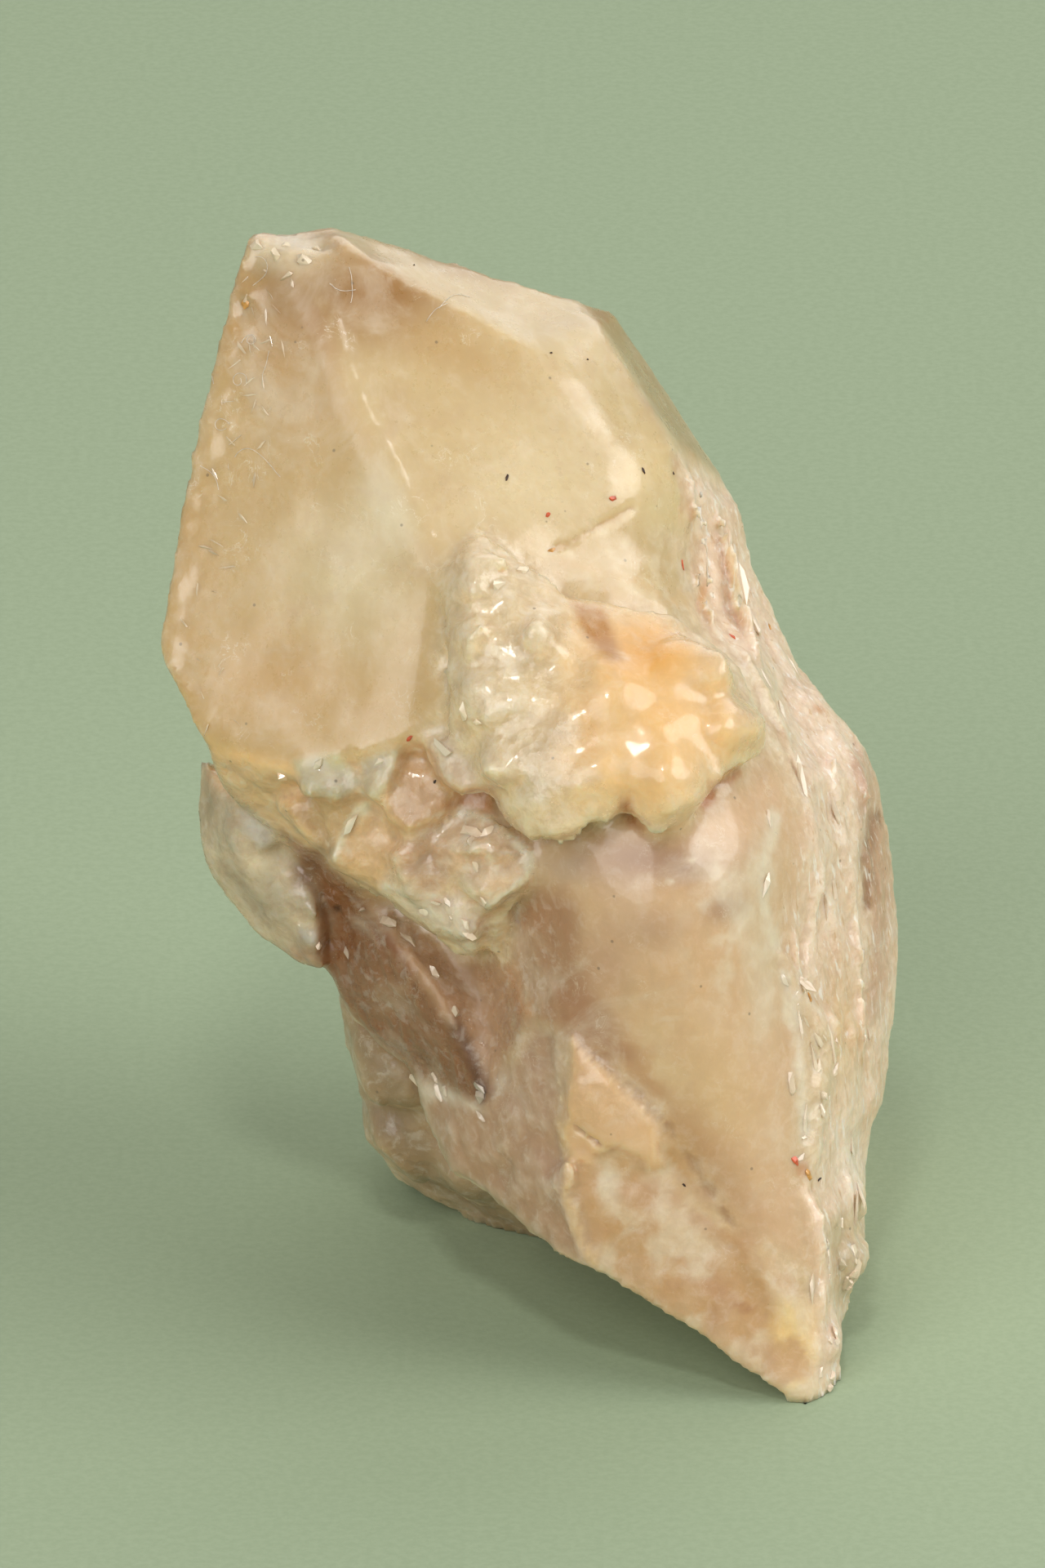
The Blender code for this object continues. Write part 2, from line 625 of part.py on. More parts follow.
# Growth terraces on the hidden faces.
TERRACES = [
    [
        (-6.4, 54.4, -19.9),
        (-2.2, 58.0, -19.2),
        (2.2, 54.6, -24.2),
        (1.6, 48.6, -28.6),
        (-3.2, 49.0, -26.0),
        (-2.0, 53.0, -14.0),
    ],
    [
        (-19.0, 50.6, -8.4),
        (-17.6, 56.0, -7.8),
        (-14.4, 56.2, -12.6),
        (-13.0, 48.0, -18.6),
        (-15.6, 45.2, -17.2),
        (-13.0, 50.0, -8.0),
    ],
    [
        (9.8, 55.4, -20.0),
        (12.6, 50.8, -20.6),
        (15.6, 44.6, -21.4),
        (14.0, 42.0, -24.6),
        (9.4, 47.6, -26.2),
        (10.0, 47.0, -16.0),
    ],
]


def link_points(rim, chains):
    """Flat points, their depths, and the edges that must stay: the rim's and each chain's."""
    points = []
    depths = []
    index_of = {}
    edges = []

    def index(point):
        key = (round(point[0], 3), round(point[1], 3))
        if key not in index_of:
            index_of[key] = len(points)
            points.append(Vector((point[0], point[1])))
            depths.append(point[2])
        return index_of[key]

    loop = [index(point) for point in rim]
    edges += list(zip(loop, loop[1:] + loop[:1]))
    for chain in chains:
        held = [index(point) for point in chain]
        edges += list(zip(held, held[1:]))
    return points, depths, edges


def sheet(rim, chains):
    """Triangles over the rim, creased along every chain, as view-frame points and faces."""
    points, depths, edges = link_points(rim, chains)
    found = delaunay_2d_cdt(points, edges, [], 1, CDT_EPSILON)
    flat, faces, origins = found[0], found[2], found[3]
    corners = []
    for spot, held in zip(flat, origins):
        depth = depths[held[0]]
        corners.append((spot[0], spot[1], depth))
    return corners, faces


def keep_object(name, mesh_data):
    obj = bpy.data.objects.new(name, mesh_data)
    bpy.context.scene.collection.objects.link(obj)
    return obj


def finish_mesh(name, bm):
    """Close-lying corners are merged, the faces turned outward, and the object is made."""
    bmesh.ops.remove_doubles(bm, verts=bm.verts, dist=MERGE_MM * MM)
    bmesh.ops.recalc_face_normals(bm, faces=bm.faces)
    mesh = bpy.data.meshes.new(name)
    bm.to_mesh(mesh)
    bm.free()
    return keep_object(name, mesh)


def relief(name, rim, front, back):
    """A closed body with the rim as its outline in the view, a creased front and a back."""
    bm = bmesh.new()
    for chains, towards in ((front, 1.0), (back, -1.0)):
        corners, faces = sheet(rim, chains)
        verts = [bm.verts.new(to_world(corner)) for corner in corners]
        for face in faces:
            a, b, c = (Vector(corners[i]) for i in face)
            turned = (b - a).cross(c - a).z * towards < 0.0
            order = reversed(face) if turned else face
            bm.faces.new([verts[i] for i in order])
    return finish_mesh(name, bm)


def hull(name, points):
    """The convex block around view-frame points."""
    bm = bmesh.new()
    for point in points:
        bm.verts.new(to_world(point))
    found = bmesh.ops.convex_hull(bm, input=bm.verts)
    inside = [g for g in found["geom_interior"] if isinstance(g, bmesh.types.BMVert)]
    bmesh.ops.delete(bm, geom=inside, context="VERTS")
    return finish_mesh(name, bm)


def lump(name, centre, half_widths):
    """A rough ball: a coarse sphere, stretched, whose corners move in and out by a fixed rule."""
    bm = bmesh.new()
    bmesh.ops.create_icosphere(bm, subdivisions=2, radius=1.0)
    for vert in bm.verts:
        x, y, z = vert.co
        wave = math.sin(LUMP_WAVES[0] * x + LUMP_SHIFTS[0] * centre[0])
        wave += math.sin(LUMP_WAVES[1] * y + LUMP_SHIFTS[1] * centre[1])
        wave += math.sin(LUMP_WAVES[2] * z + LUMP_SHIFTS[2] * centre[0] * centre[1])
        reach = 1.0 + LUMP_ROUGHNESS * wave
        point = [c + h * reach * k for c, h, k in zip(centre, half_widths, (x, y, z))]
        vert.co = to_world(point)
    return finish_mesh(name, bm)


def crystal(name, foot, tip, radius, stretch, turn_deg, cap):
    """A six-sided quartz prism from foot to tip, capped by a pyramid of length cap."""
    foot, tip = Vector(foot), Vector(tip)
    along = (tip - foot).normalized()
    across = along.orthogonal().normalized()
    across = Matrix.Rotation(math.radians(turn_deg), 3, along) @ across
    other = along.cross(across)
    shoulder = tip - along * cap
    points = [tip]
    for side in range(PRISM_SIDES):
        angle = math.tau * side / PRISM_SIDES
        reach = radius * (1.0 + PRISM_UNEVEN * math.cos(2.0 * angle + turn_deg))
        ring = (across * math.cos(angle) + other * math.sin(angle) * stretch) * reach
        slope = along * (SHOULDER_SLOPE * cap * math.cos(PRISM_SIDES / 2.0 * angle))
        points.append(foot + ring)
        points.append(shoulder + ring + slope)
    return hull(name, [tuple(point) for point in points])


def splinter(name, start, end, width, height):
    """A long thin ridge of quartz, sharp at both ends, that follows the c axis."""
    start, end = Vector(start), Vector(end)
    middle = start.lerp(end, SPLINTER_WIDEST)
    along = (end - start).normalized()
    side = along.cross(Vector(SPLINTER_PLANE)).normalized() * width
    lift = Vector(SPLINTER_LIFT) * height
    points = [start, end, middle + side, middle - side * SPLINTER_NARROW_SIDE, middle + lift]
    points += [start - lift * SPLINTER_END_ROOT, end - lift * SPLINTER_END_ROOT]
    points.append(middle - lift * SPLINTER_MIDDLE_ROOT)
    return hull(name, [tuple(point) for point in points])


def combine(target, others, operation):
    """Booleans the others into target, one after another, and removes them."""
    for other in others:
        modifier = target.modifiers.new(other.name, "BOOLEAN")
        modifier.operation = operation
        modifier.object = other
        modifier.solver = "EXACT"
        depsgraph = bpy.context.evaluated_depsgraph_get()
        joined = bpy.data.meshes.new_from_object(target.evaluated_get(depsgraph))
        target.modifiers.clear()
        old = target.data
        target.data = joined
        bpy.data.meshes.remove(old)
        bpy.data.objects.remove(other, do_unlink=True)


def tidy(target):
    """Merges slivers left where the blocks meet and splits every face into triangles."""
    bm = bmesh.new()
    bm.from_mesh(target.data)
    bmesh.ops.remove_doubles(bm, verts=bm.verts, dist=MERGE_MM * MM)
    bmesh.ops.dissolve_degenerate(bm, edges=bm.edges, dist=MERGE_MM * MM)
    bmesh.ops.triangulate(bm, faces=bm.faces)
    bm.to_mesh(target.data)
    bm.free()


def citrine_material():
    material = bpy.data.materials.new("citrine")
    material.use_nodes = True
    shader = material.node_tree.nodes["Principled BSDF"]
    shader.inputs["Base Color"].default_value = CITRINE_COLOUR
    shader.inputs["Roughness"].default_value = CITRINE_ROUGHNESS
    shader.inputs["Metallic"].default_value = 0.0
    shader.inputs["IOR"].default_value = QUARTZ_IOR
    return material


def masses():
    """The blocks that grew together around the crystal."""
    blocks = [
        hull("base", BASE),
        hull("lobe", LOBE),
        hull("shard", SHARD),
        relief("chunk", CHUNK_RIM, CHUNK_FRONT, CHUNK_ROOT),
        hull("flake", FLAKE),
        relief("druse", DRUSE_RIM, DRUSE_FRONT, DRUSE_ROOT),
        relief("plate", PLATE_RIM, PLATE_FRONT, PLATE_ROOT),
        hull("tab", TAB),
    ]
    for number, points in enumerate(LEDGE_BLOCKS + TERRACES):
        blocks.append(hull(f"block_{number}", points))
    for number, (centre, widths) in enumerate(DRUSE_LUMPS + CHUNK_LUMPS + BASE_LUMPS):
        blocks.append(lump(f"lump_{number}", centre, widths))
    for number, measures in enumerate(BACK_CRYSTALS):
        blocks.append(crystal(f"crystal_{number}", *measures))
    for number, measures in enumerate(SPLINTERS):
        blocks.append(splinter(f"splinter_{number}", *measures))
    return blocks


def build():
    for obj in list(bpy.data.objects):
        bpy.data.objects.remove(obj, do_unlink=True)
    stone = relief("citrine", BODY_RIM, BODY_FRONT, BODY_BACK)
    combine(stone, masses(), "UNION")
    chips = [lump(f"chip_{n}", centre, widths) for n, (centre, widths) in enumerate(CHIPS)]
    combine(stone, chips, "DIFFERENCE")
    tidy(stone)
    stone.data.materials.clear()
    stone.data.materials.append(citrine_material())


build()
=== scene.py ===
"""The raw citrine, dressed: cloudy quartz with a druse crust, a smoky hollow and a splintered flank."""

import math

import bmesh
import bpy
import numpy as np
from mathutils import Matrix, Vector, noise
from mathutils.bvhtree import BVHTree
from mathutils.kdtree import KDTree


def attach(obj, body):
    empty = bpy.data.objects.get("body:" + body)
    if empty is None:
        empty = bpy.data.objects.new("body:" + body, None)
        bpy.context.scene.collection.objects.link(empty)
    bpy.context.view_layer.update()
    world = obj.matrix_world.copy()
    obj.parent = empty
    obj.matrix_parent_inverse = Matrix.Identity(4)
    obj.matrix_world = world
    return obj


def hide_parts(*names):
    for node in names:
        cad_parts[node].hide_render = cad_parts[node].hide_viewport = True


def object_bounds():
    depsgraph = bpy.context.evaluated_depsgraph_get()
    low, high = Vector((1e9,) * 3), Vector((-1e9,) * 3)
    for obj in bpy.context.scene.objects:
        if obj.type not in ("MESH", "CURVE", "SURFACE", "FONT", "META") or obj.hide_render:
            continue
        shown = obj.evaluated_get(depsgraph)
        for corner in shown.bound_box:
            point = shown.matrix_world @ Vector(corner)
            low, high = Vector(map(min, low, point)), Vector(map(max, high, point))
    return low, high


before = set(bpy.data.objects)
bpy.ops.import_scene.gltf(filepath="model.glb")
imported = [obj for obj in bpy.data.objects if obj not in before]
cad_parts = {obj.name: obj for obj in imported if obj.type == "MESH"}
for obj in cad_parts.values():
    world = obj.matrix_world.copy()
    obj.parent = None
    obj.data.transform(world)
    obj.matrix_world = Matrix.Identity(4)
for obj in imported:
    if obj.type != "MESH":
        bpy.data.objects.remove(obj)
cad_low, cad_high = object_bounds()

MM = 0.001
VIEW_ELEVATION = math.radians(25.0)
SIN_E = math.sin(VIEW_ELEVATION)
COS_E = math.cos(VIEW_ELEVATION)
CENTRE_X = 0.45
CENTRE_Y = 24.4
# The picture's scale, and the pixel column and row of the view frame's zero.
PX_PER_MM = 20.0
ZERO_COLUMN = 640.0
ZERO_ROW = 1720.0
# The dense mesh's cell, and the cell that the rounds of smoothing are given for.
CELL = 0.375
ROUNDS_CELL = 0.30
# Chips stay just inside the solid's box; flakes leave the foot and the tip bare.
CHIP_LOW = np.array(cad_low) + 0.00003
CHIP_HIGH = np.array(cad_high) - 0.00003
BARE_FOOT = 0.003
BARE_TIP = 0.052
HIDDEN_FACING = -0.45
# A flat facet's bumps, how much wider its root is, and how deep the root goes.
FACET_BUMPS = 6
ROOT_WIDER = 1.25
ROOT_DEPTH = 2.0
# What rests on the floor, in metres; the most that relief adds, and a full pit's depth.
BASE_LEVEL = 0.0004
RELIEF_LIMIT = 0.8
PIT_DEPTH = 0.12
# The colours as read from the picture, brought to the surface's own.
AS_LIT = (0.89, 0.86, 0.78)
TINT_PEAK = 0.95
# Quartz bends light this much, has a thin gloss, and spreads light inside, in millimetres.
QUARTZ_IOR = 1.544
COAT = 0.45
LIGHT_SPREAD = 1.3


def view_frame(co):
    """Metres in the part's frame to millimetres right, up and towards the viewer."""
    x = co[:, 0] / MM + CENTRE_X
    y = co[:, 1] / MM + CENTRE_Y
    z = co[:, 2] / MM
    return np.stack([x, y * SIN_E + z * COS_E, z * SIN_E - y * COS_E], axis=1)


def world_point(u, v, w):
    """A view-frame point in millimetres as a point of the part's frame in metres."""
    x = u - CENTRE_X
    y = v * SIN_E - w * COS_E - CENTRE_Y
    z = v * COS_E + w * SIN_E
    return Vector((x, y, z)) * MM


def view_normals(normals):
    up = normals[:, 1] * SIN_E + normals[:, 2] * COS_E
    toward = normals[:, 2] * SIN_E - normals[:, 1] * COS_E
    return np.stack([normals[:, 0], up, toward], axis=1)


def outline(*corners):
    """Picture corners, columns and rows by turns, as view-frame millimetres."""
    pairs = np.reshape(corners, (-1, 2))
    return np.array([((c - ZERO_COLUMN) / PX_PER_MM, (ZERO_ROW - r) / PX_PER_MM) for c, r in pairs])


def linear(red, green, blue):
    """An eye-read colour, 0 to 255, as linear light."""
    out = []
    for value in (red, green, blue):
        s = value / 255.0
        out.append(s / 12.92 if s <= 0.04045 else ((s + 0.055) / 1.055) ** 2.4)
    return np.array(out)


# Regions of the front, as seen.
FACE_LEFT = outline(
    300, 300, 345, 300, 396, 372, 439, 490, 486, 576, 539, 679, 548, 740, 530, 800, 548, 850, 500, 905,
    430, 930, 340, 950, 250, 920, 190, 790,
)
FACE_MIDDLE = outline(
    345, 300, 400, 290, 464, 326, 544, 368, 647, 422, 694, 454, 735, 522, 776, 577, 800, 640, 840, 740,
    700, 740, 660, 690, 600, 650, 539, 690, 486, 576, 439, 490, 396, 372,
)
FACE_TOP = outline(
    400, 270, 500, 300, 650, 345, 705, 362, 764, 445, 823, 539, 846, 633, 849, 662, 800, 640, 776, 577,
    735, 522, 694, 454, 544, 368, 425, 297,
)
FACE_FAR = outline(
    705, 355, 760, 370, 850, 520, 915, 620, 870, 568, 823, 539, 793, 495, 764, 445, 735, 398,
)
DRUSE = outline(
    534, 698, 590, 656, 653, 691, 695, 730, 787, 747, 853, 775, 909, 817, 941, 891, 930, 933, 885, 954,
    857, 989, 804, 1017, 766, 993, 702, 1021, 650, 1031, 608, 989, 573, 916, 548, 898, 552, 845, 534,
    824, 552, 789,
)
DRUSE_ORANGE = outline(
    700, 730, 787, 745, 853, 780, 905, 830, 935, 900, 880, 950, 850, 990, 790, 1010, 745, 985, 700, 960,
    690, 860, 700, 800,
)
RECESS = outline(676, 690, 702, 662, 762, 640, 812, 668, 846, 722, 850, 768, 800, 742, 700, 728)
DRUSE_WEDGE = outline(699, 733, 740, 745, 762, 810, 745, 812, 715, 780)
CHUNK = outline(
    475, 1087, 516, 1135, 551, 1166, 564, 1176, 595, 1155, 620, 1175, 623, 1121, 650, 1076, 647, 1045,
    609, 1011, 578, 994, 551, 1000, 523, 1028, 489, 1045,
)
LEDGE = outline(
    255, 925, 340, 950, 430, 935, 520, 905, 600, 965, 605, 1010, 551, 1000, 500, 1030, 475, 1087, 440,
    1090, 365, 1030, 300, 985, 262, 960,
)
TAN_LEDGE = outline(248, 918, 360, 932, 372, 972, 345, 995, 400, 1055, 340, 1012, 262, 960)
GLASS_LEFT = outline(360, 932, 415, 922, 445, 958, 417, 980, 376, 973)
GLASS_RIGHT = outline(443, 929, 492, 916, 478, 958, 465, 980, 444, 972)
OLIVE_FACET = outline(346, 990, 376, 975, 417, 982, 440, 972, 428, 1018, 412, 1056)
GLASS_BLADE = outline(436, 985, 456, 980, 450, 1000, 424, 1022, 412, 1056, 404, 1050)
BEIGE_FACET = outline(440, 997, 478, 1008, 488, 1040, 459, 1090, 420, 1062, 428, 1022)
PINK_BLOCK = outline(478, 958, 494, 918, 527, 915, 560, 966, 540, 998, 497, 1016, 478, 997)
WING = outline(524, 910, 552, 899, 578, 942, 602, 960, 566, 968, 540, 950)
RUST_NOTCH = outline(540, 990, 575, 966, 603, 962, 606, 1000, 575, 994)
DOME = outline(542, 1000, 564, 995, 603, 1004, 650, 1047, 645, 1074, 626, 1092, 596, 1110, 560, 1060)
CHUNK_MIDDLE = outline(478, 1048, 530, 1008, 560, 1060, 545, 1088, 500, 1090)
CHUNK_WHITE = outline(
    470, 1084, 497, 1094, 552, 1094, 592, 1112, 590, 1140, 576, 1168, 540, 1130, 500, 1120,
)
SHARD = outline(
    246, 929, 262, 960, 300, 985, 360, 1050, 392, 1107, 398, 1200, 341, 1175, 261, 1085, 236, 1010,
)
SHARD_STRIP = outline(290, 992, 306, 988, 332, 1008, 335, 1034, 318, 1040, 300, 1018)
SHARD_EDGE = outline(335, 1042, 350, 1042, 384, 1096, 392, 1130, 374, 1118, 346, 1080)
SHARD_FOOT = outline(362, 1138, 388, 1142, 393, 1162, 371, 1156)
SMOKY_LEFT = outline(
    345, 1018, 440, 1090, 485, 1149, 554, 1255, 592, 1314, 598, 1356, 505, 1316, 461, 1283, 413, 1224,
    390, 1180, 388, 1100,
)
SMOKY_RIGHT = outline(
    440, 1090, 500, 1115, 564, 1180, 620, 1180, 650, 1250, 622, 1290, 598, 1356, 592, 1314, 554, 1255,
    485, 1149,
)
BROWN_ZONE = outline(
    650, 1085, 690, 1090, 712, 1130, 716, 1190, 770, 1290, 740, 1300, 690, 1262, 650, 1250, 622, 1180,
    628, 1110,
)
FRONT_FACE = outline(
    650, 1030, 760, 1005, 860, 1000, 940, 930, 985, 1000, 975, 1100, 955, 1180, 990, 1260, 975, 1400,
    1000, 1560, 900, 1500, 811, 1370, 728, 1292, 690, 1262, 700, 1130, 650, 1080,
)
TAN_BAND = outline(
    690, 1215, 760, 1260, 830, 1330, 900, 1420, 930, 1500, 880, 1470, 800, 1360, 730, 1290, 690, 1262,
)
LILAC = outline(
    505, 1312, 600, 1350, 650, 1255, 692, 1262, 690, 1380, 700, 1450, 735, 1556, 665, 1526, 612, 1475,
    549, 1438, 520, 1380,
)
MILKY_PATCH = outline(500, 1310, 540, 1325, 604, 1340, 600, 1362, 545, 1350, 512, 1345)
PLATE = outline(
    700, 1268, 721, 1294, 747, 1320, 782, 1350, 808, 1381, 812, 1424, 795, 1433, 773, 1415, 756, 1398,
    734, 1407, 726, 1428, 704, 1424, 691, 1385, 695, 1333,
)
CREAM_FACE = outline(
    690, 1380, 811, 1370, 900, 1500, 1000, 1600, 1005, 1716, 985, 1722, 933, 1696, 822, 1618, 733, 1558,
    700, 1450,
)
PEACH_FOOT = outline(955, 1590, 1003, 1598, 1005, 1705, 960, 1712, 940, 1660)
FLANK = outline(
    832, 560, 905, 600, 925, 690, 985, 822, 1062, 905, 1110, 1120, 1100, 1300, 1072, 1380, 1068, 1520,
    1040, 1700, 1000, 1720, 1003, 1613, 988, 1461, 1021, 1286, 956, 1169, 985, 1000, 950, 830, 872, 780,
    852, 663,
)
LOBE = outline(
    405, 1215, 461, 1283, 505, 1316, 520, 1380, 549, 1438, 612, 1475, 665, 1526, 590, 1512, 500, 1470,
    448, 1400, 425, 1290,
)
GLASSY_STRIP = outline(1014, 1494, 1060, 1470, 1062, 1560, 1035, 1600, 1020, 1587)
WHITE_FOOT = outline(1003, 1600, 1036, 1620, 1040, 1690, 1000, 1722, 995, 1690)


# Lines that the picture shows as ridges, steps and cracks.
RIDGE_LEFT = (350, 322, 396, 372, 414, 408, 439, 490, 486, 576, 539, 679)
RIDGE_TOP = (400, 276, 464, 326, 544, 368, 647, 422, 694, 454, 735, 522, 776, 577)
RIDGE_FAR = (705, 362, 764, 445, 823, 539, 837, 598, 849, 662)
DOME_RIM = (564, 995, 603, 1004, 650, 1047, 645, 1074, 626, 1092, 598, 1110)
WHITE_RIM = (475, 1086, 497, 1094, 540, 1128, 576, 1166, 591, 1138)
HOLLOW_EDGE = (548, 1150, 572, 1196, 592, 1250, 600, 1310)
HOLLOW_RIDGE = (447, 1104, 485, 1149, 530, 1204, 554, 1255, 592, 1314, 597, 1352)
FLANK_GROOVE = (828, 560, 852, 663, 858, 739, 872, 780, 914, 815, 938, 880, 965, 911, 986, 966)
FLANK_RIDGE = (956, 1169, 984, 1220, 1021, 1286, 1007, 1344, 988, 1461, 1014, 1572, 1000, 1661)
SHADED_BROWN_GROOVE = (1075, 1000, 1062, 1050, 1068, 1110)
FRONT_LINE = (728, 1292, 770, 1325, 811, 1368, 860, 1440, 897, 1498)
CREAM_RIDGE = (688, 1378, 698, 1421, 692, 1461, 712, 1521, 735, 1554)


def path_distance(points, starts, ends):
    """Distance to the nearest of some straight runs, in millimetres."""
    best = np.full(len(points), 1e9)
    for a, b in zip(starts, ends):
        run = b - a
        t = np.clip(((points - a) @ run) / (run @ run), 0.0, 1.0)
        best = np.minimum(best, np.linalg.norm(points - a - t[:, None] * run, axis=1))
    return best


def signed_distance(points, polygon):
    """Distance to the polygon's edge in millimetres, positive inside."""
    ends = np.roll(polygon, -1, axis=0)
    best = path_distance(points, polygon, ends)
    inside = np.zeros(len(points), bool)
    for a, b in zip(polygon, ends):
        crosses = (a[1] > points[:, 1]) != (b[1] > points[:, 1])
        if crosses.any():
            at = (b - a)[0] * (points[:, 1] - a[1]) / ((b - a)[1] + 1e-12) + a[0]
            inside ^= crosses & (points[:, 0] < at)
    return np.where(inside, best, -best)


def ease(x):
    t = np.clip(x, 0.0, 1.0)
    return t * t * (3.0 - 2.0 * t)


def perlin(points, scale, seed, stretch=(1.0, 1.0, 1.0)):
    """Smooth noise, about -1 to 1, with features about scale millimetres wide."""
    shift = np.array([seed * 17.3, seed * -9.1, seed * 5.7])
    q = points / (scale * np.array(stretch)) + shift
    return np.array([noise.noise(p) for p in q])


def cells(points, scale, seed, metric="DISTANCE"):
    """Distance to the nearest of scattered points and to the second nearest, in cell widths."""
    shift = np.array([seed * 11.9, seed * 7.3, seed * -13.1])
    q = points / scale + shift
    found = [noise.voronoi(p, distance_metric=metric)[0] for p in q]
    table = np.array(found)
    return table[:, 0], table[:, 1]


def layered(points, scale, seed, octaves):
    total = np.zeros(len(points))
    for octave in range(octaves):
        total += perlin(points, scale / 2.0**octave, seed + octave) / 2.0**octave
    return total


def picture_ray(tree, column, row):
    """The visible surface at a picture point: where it is and which way it faces."""
    place = ((column - ZERO_COLUMN) / PX_PER_MM, (ZERO_ROW - row) / PX_PER_MM)
    start = world_point(*place, 80.0)
    inward = (world_point(*place, 0.0) - start).normalized()
    hit, normal, _, _ = tree.ray_cast(start, inward)
    return hit, normal


def lying(normal, turn):
    """Along and across a surface: the picture's right, turned by some degrees and laid flat."""
    angle = math.radians(turn)
    along = Vector((math.cos(angle), math.sin(angle) * SIN_E, math.sin(angle) * COS_E))
    along = (along - normal * along.dot(normal)).normalized()
    return along, normal.cross(along)


def place_object(name, data):
    made = bpy.data.objects.new(name, data)
    bpy.context.scene.collection.objects.link(made)
    return made


def write_layers(mesh, colours, layers):
    """The colour and the named values of each point, for the materials to read."""
    layer = mesh.attributes.new("tint", "FLOAT_COLOR", "POINT")
    filled = np.concatenate([colours, np.ones((len(colours), 1))], axis=1)
    layer.data.foreach_set("color", filled.astype(np.float32).ravel())
    for name, values in layers.items():
        layer = mesh.attributes.new(name, "FLOAT", "POINT")
        layer.data.foreach_set("value", values.astype(np.float32))


class Chips:
    """Small angular pieces grown on the stone, gathered in one mesh."""

    def __init__(self, node):
        self.body = bmesh.new()
        self.body.from_mesh(node.data)
        self.tree = BVHTree.FromBMesh(self.body)
        self.crisp = bmesh.new()
        self.grown = self.body
        self.random = np.random.RandomState(7)

    def add(self, column, row, half_sizes, turn, facets=14, sunk=0.35):
        """One chip: half its length, width and height in millimetres, turned from the picture's right."""
        hit, normal = picture_ray(self.tree, column, row)
        if hit is None:
            return
        self.chip(hit, lying(normal, turn), normal, half_sizes, facets, sunk)

    def rows(self, places, wide_share, wide, high, facets, sunk):
        """Chips of one kind, each at a column and row with half its length and its turn."""
        for column, row, long_half, turn in places:
            self.add(column, row, (long_half, long_half * wide_share + wide, high), turn, facets, sunk)

    def chip(self, hit, directions, normal, half_sizes, facets, sunk):
        """A ball's chance points, stretched to the sizes and wrapped."""
        along, across = directions
        long_half, wide_half, high_half = (half * MM for half in half_sizes)
        heart = hit - normal * (high_half * sunk)
        corners = []
        for _ in range(facets):
            ball = Vector(self.random.normal(size=3)).normalized()
            corner = heart + along * (ball.x * long_half) + across * (ball.y * wide_half)
            corners.append(corner + normal * (ball.z * high_half))
        self.wrap(corners)

    def wrap(self, corners):
        points = [self.grown.verts.new(np.clip(corner, CHIP_LOW, CHIP_HIGH)) for corner in corners]
        made = bmesh.ops.convex_hull(self.grown, input=points, use_existing_faces=False)
        inner = [v for v in made["geom_interior"] if isinstance(v, bmesh.types.BMVert)]
        bmesh.ops.delete(self.grown, geom=inner, context="VERTS")

    def size_between(self, smallest, largest):
        return np.array(smallest) + (np.array(largest) - smallest) * self.random.random_sample(3)

    def behind(self, count, smallest, largest, facets):
        """Broken flakes at chance places of the side the picture doesn't show."""
        toward = (world_point(0, 0, 1) - world_point(0, 0, 0)).normalized()
        middle = Vector((0.0, 0.0, 0.5 * float(cad_high[2])))
        placed = 0
        while placed < count:
            away = Vector(self.random.normal(size=3)).normalized()
            hit, normal, _, _ = self.tree.ray_cast(middle + away * 0.2, -away)
            tangent = Vector(self.random.normal(size=3))
            if hit is None or normal.dot(toward) > HIDDEN_FACING or not BARE_FOOT < hit.z < BARE_TIP:
                continue
            along = (tangent - normal * tangent.dot(normal)).normalized()
            sizes = self.size_between(smallest, largest)
            self.chip(hit, (along, normal.cross(along)), normal, sizes, facets, 0.5)
            placed += 1

    def facet(self, polygon, lift, tilt_right, tilt_up):
        """A flat broken face over a region, lifted and tilted, on a block that reaches in."""
        places = []
        for u, v in polygon:
            hit, _ = picture_ray(self.tree, ZERO_COLUMN + u * PX_PER_MM, ZERO_ROW - v * PX_PER_MM)
            places.append(view_frame(np.array(hit)[None, :])[0])
        places = np.array(places)
        heart = places[:, :2].mean(axis=0)
        depth = np.median(places[:, 2]) + lift
        corners = []
        for u, v in polygon:
            level = depth + tilt_right * (u - heart[0]) + tilt_up * (v - heart[1])
            wider_u, wider_v = heart + (np.array([u, v]) - heart) * ROOT_WIDER
            corners += [world_point(u, v, level), world_point(wider_u, wider_v, level - ROOT_DEPTH)]
        for _ in range(FACET_BUMPS):
            share = self.random.dirichlet(np.full(len(polygon), 0.7))
            u, v = share @ np.array(polygon)
            level = depth + tilt_right * (u - heart[0]) + tilt_up * (v - heart[1])
            corners.append(world_point(u, v, level + self.random.uniform(0.05, 0.35)))
        self.wrap(corners)

    def scatter(self, polygon, count, smallest, largest, turn, spread_turn, facets):
        """Chips at chance places of a region."""
        low, high = polygon.min(axis=0), polygon.max(axis=0)
        placed = 0
        while placed < count:
            point = low + (high - low) * self.random.random_sample(2)
            if signed_distance(point[None, :], polygon)[0] < 0.3:
                continue
            sizes = self.size_between(smallest, largest)
            column = ZERO_COLUMN + point[0] * PX_PER_MM
            row = ZERO_ROW - point[1] * PX_PER_MM
            self.add(column, row, sizes, turn + spread_turn * self.random.uniform(-1, 1), facets)
            placed += 1

    def string(self, corners, gap, sizes, lanes, facets):
        """Chips in lanes beside a picture line, about gap pixels apart."""
        path = np.reshape(corners, (-1, 2)).astype(float)
        for start, end in zip(path[:-1], path[1:]):
            run = end - start
            length = np.linalg.norm(run)
            side = np.array([-run[1], run[0]]) / length
            for step in np.arange(0.0, length, gap):
                for lane in lanes:
                    shake = self.random.uniform(-0.3, 0.3, 2) * gap
                    column, row = start + run * (step / length) + side * lane + shake
                    half = np.array(sizes) * self.random.uniform(0.6, 1.15)
                    self.add(column, row, half, self.random.uniform(0, 180), facets)

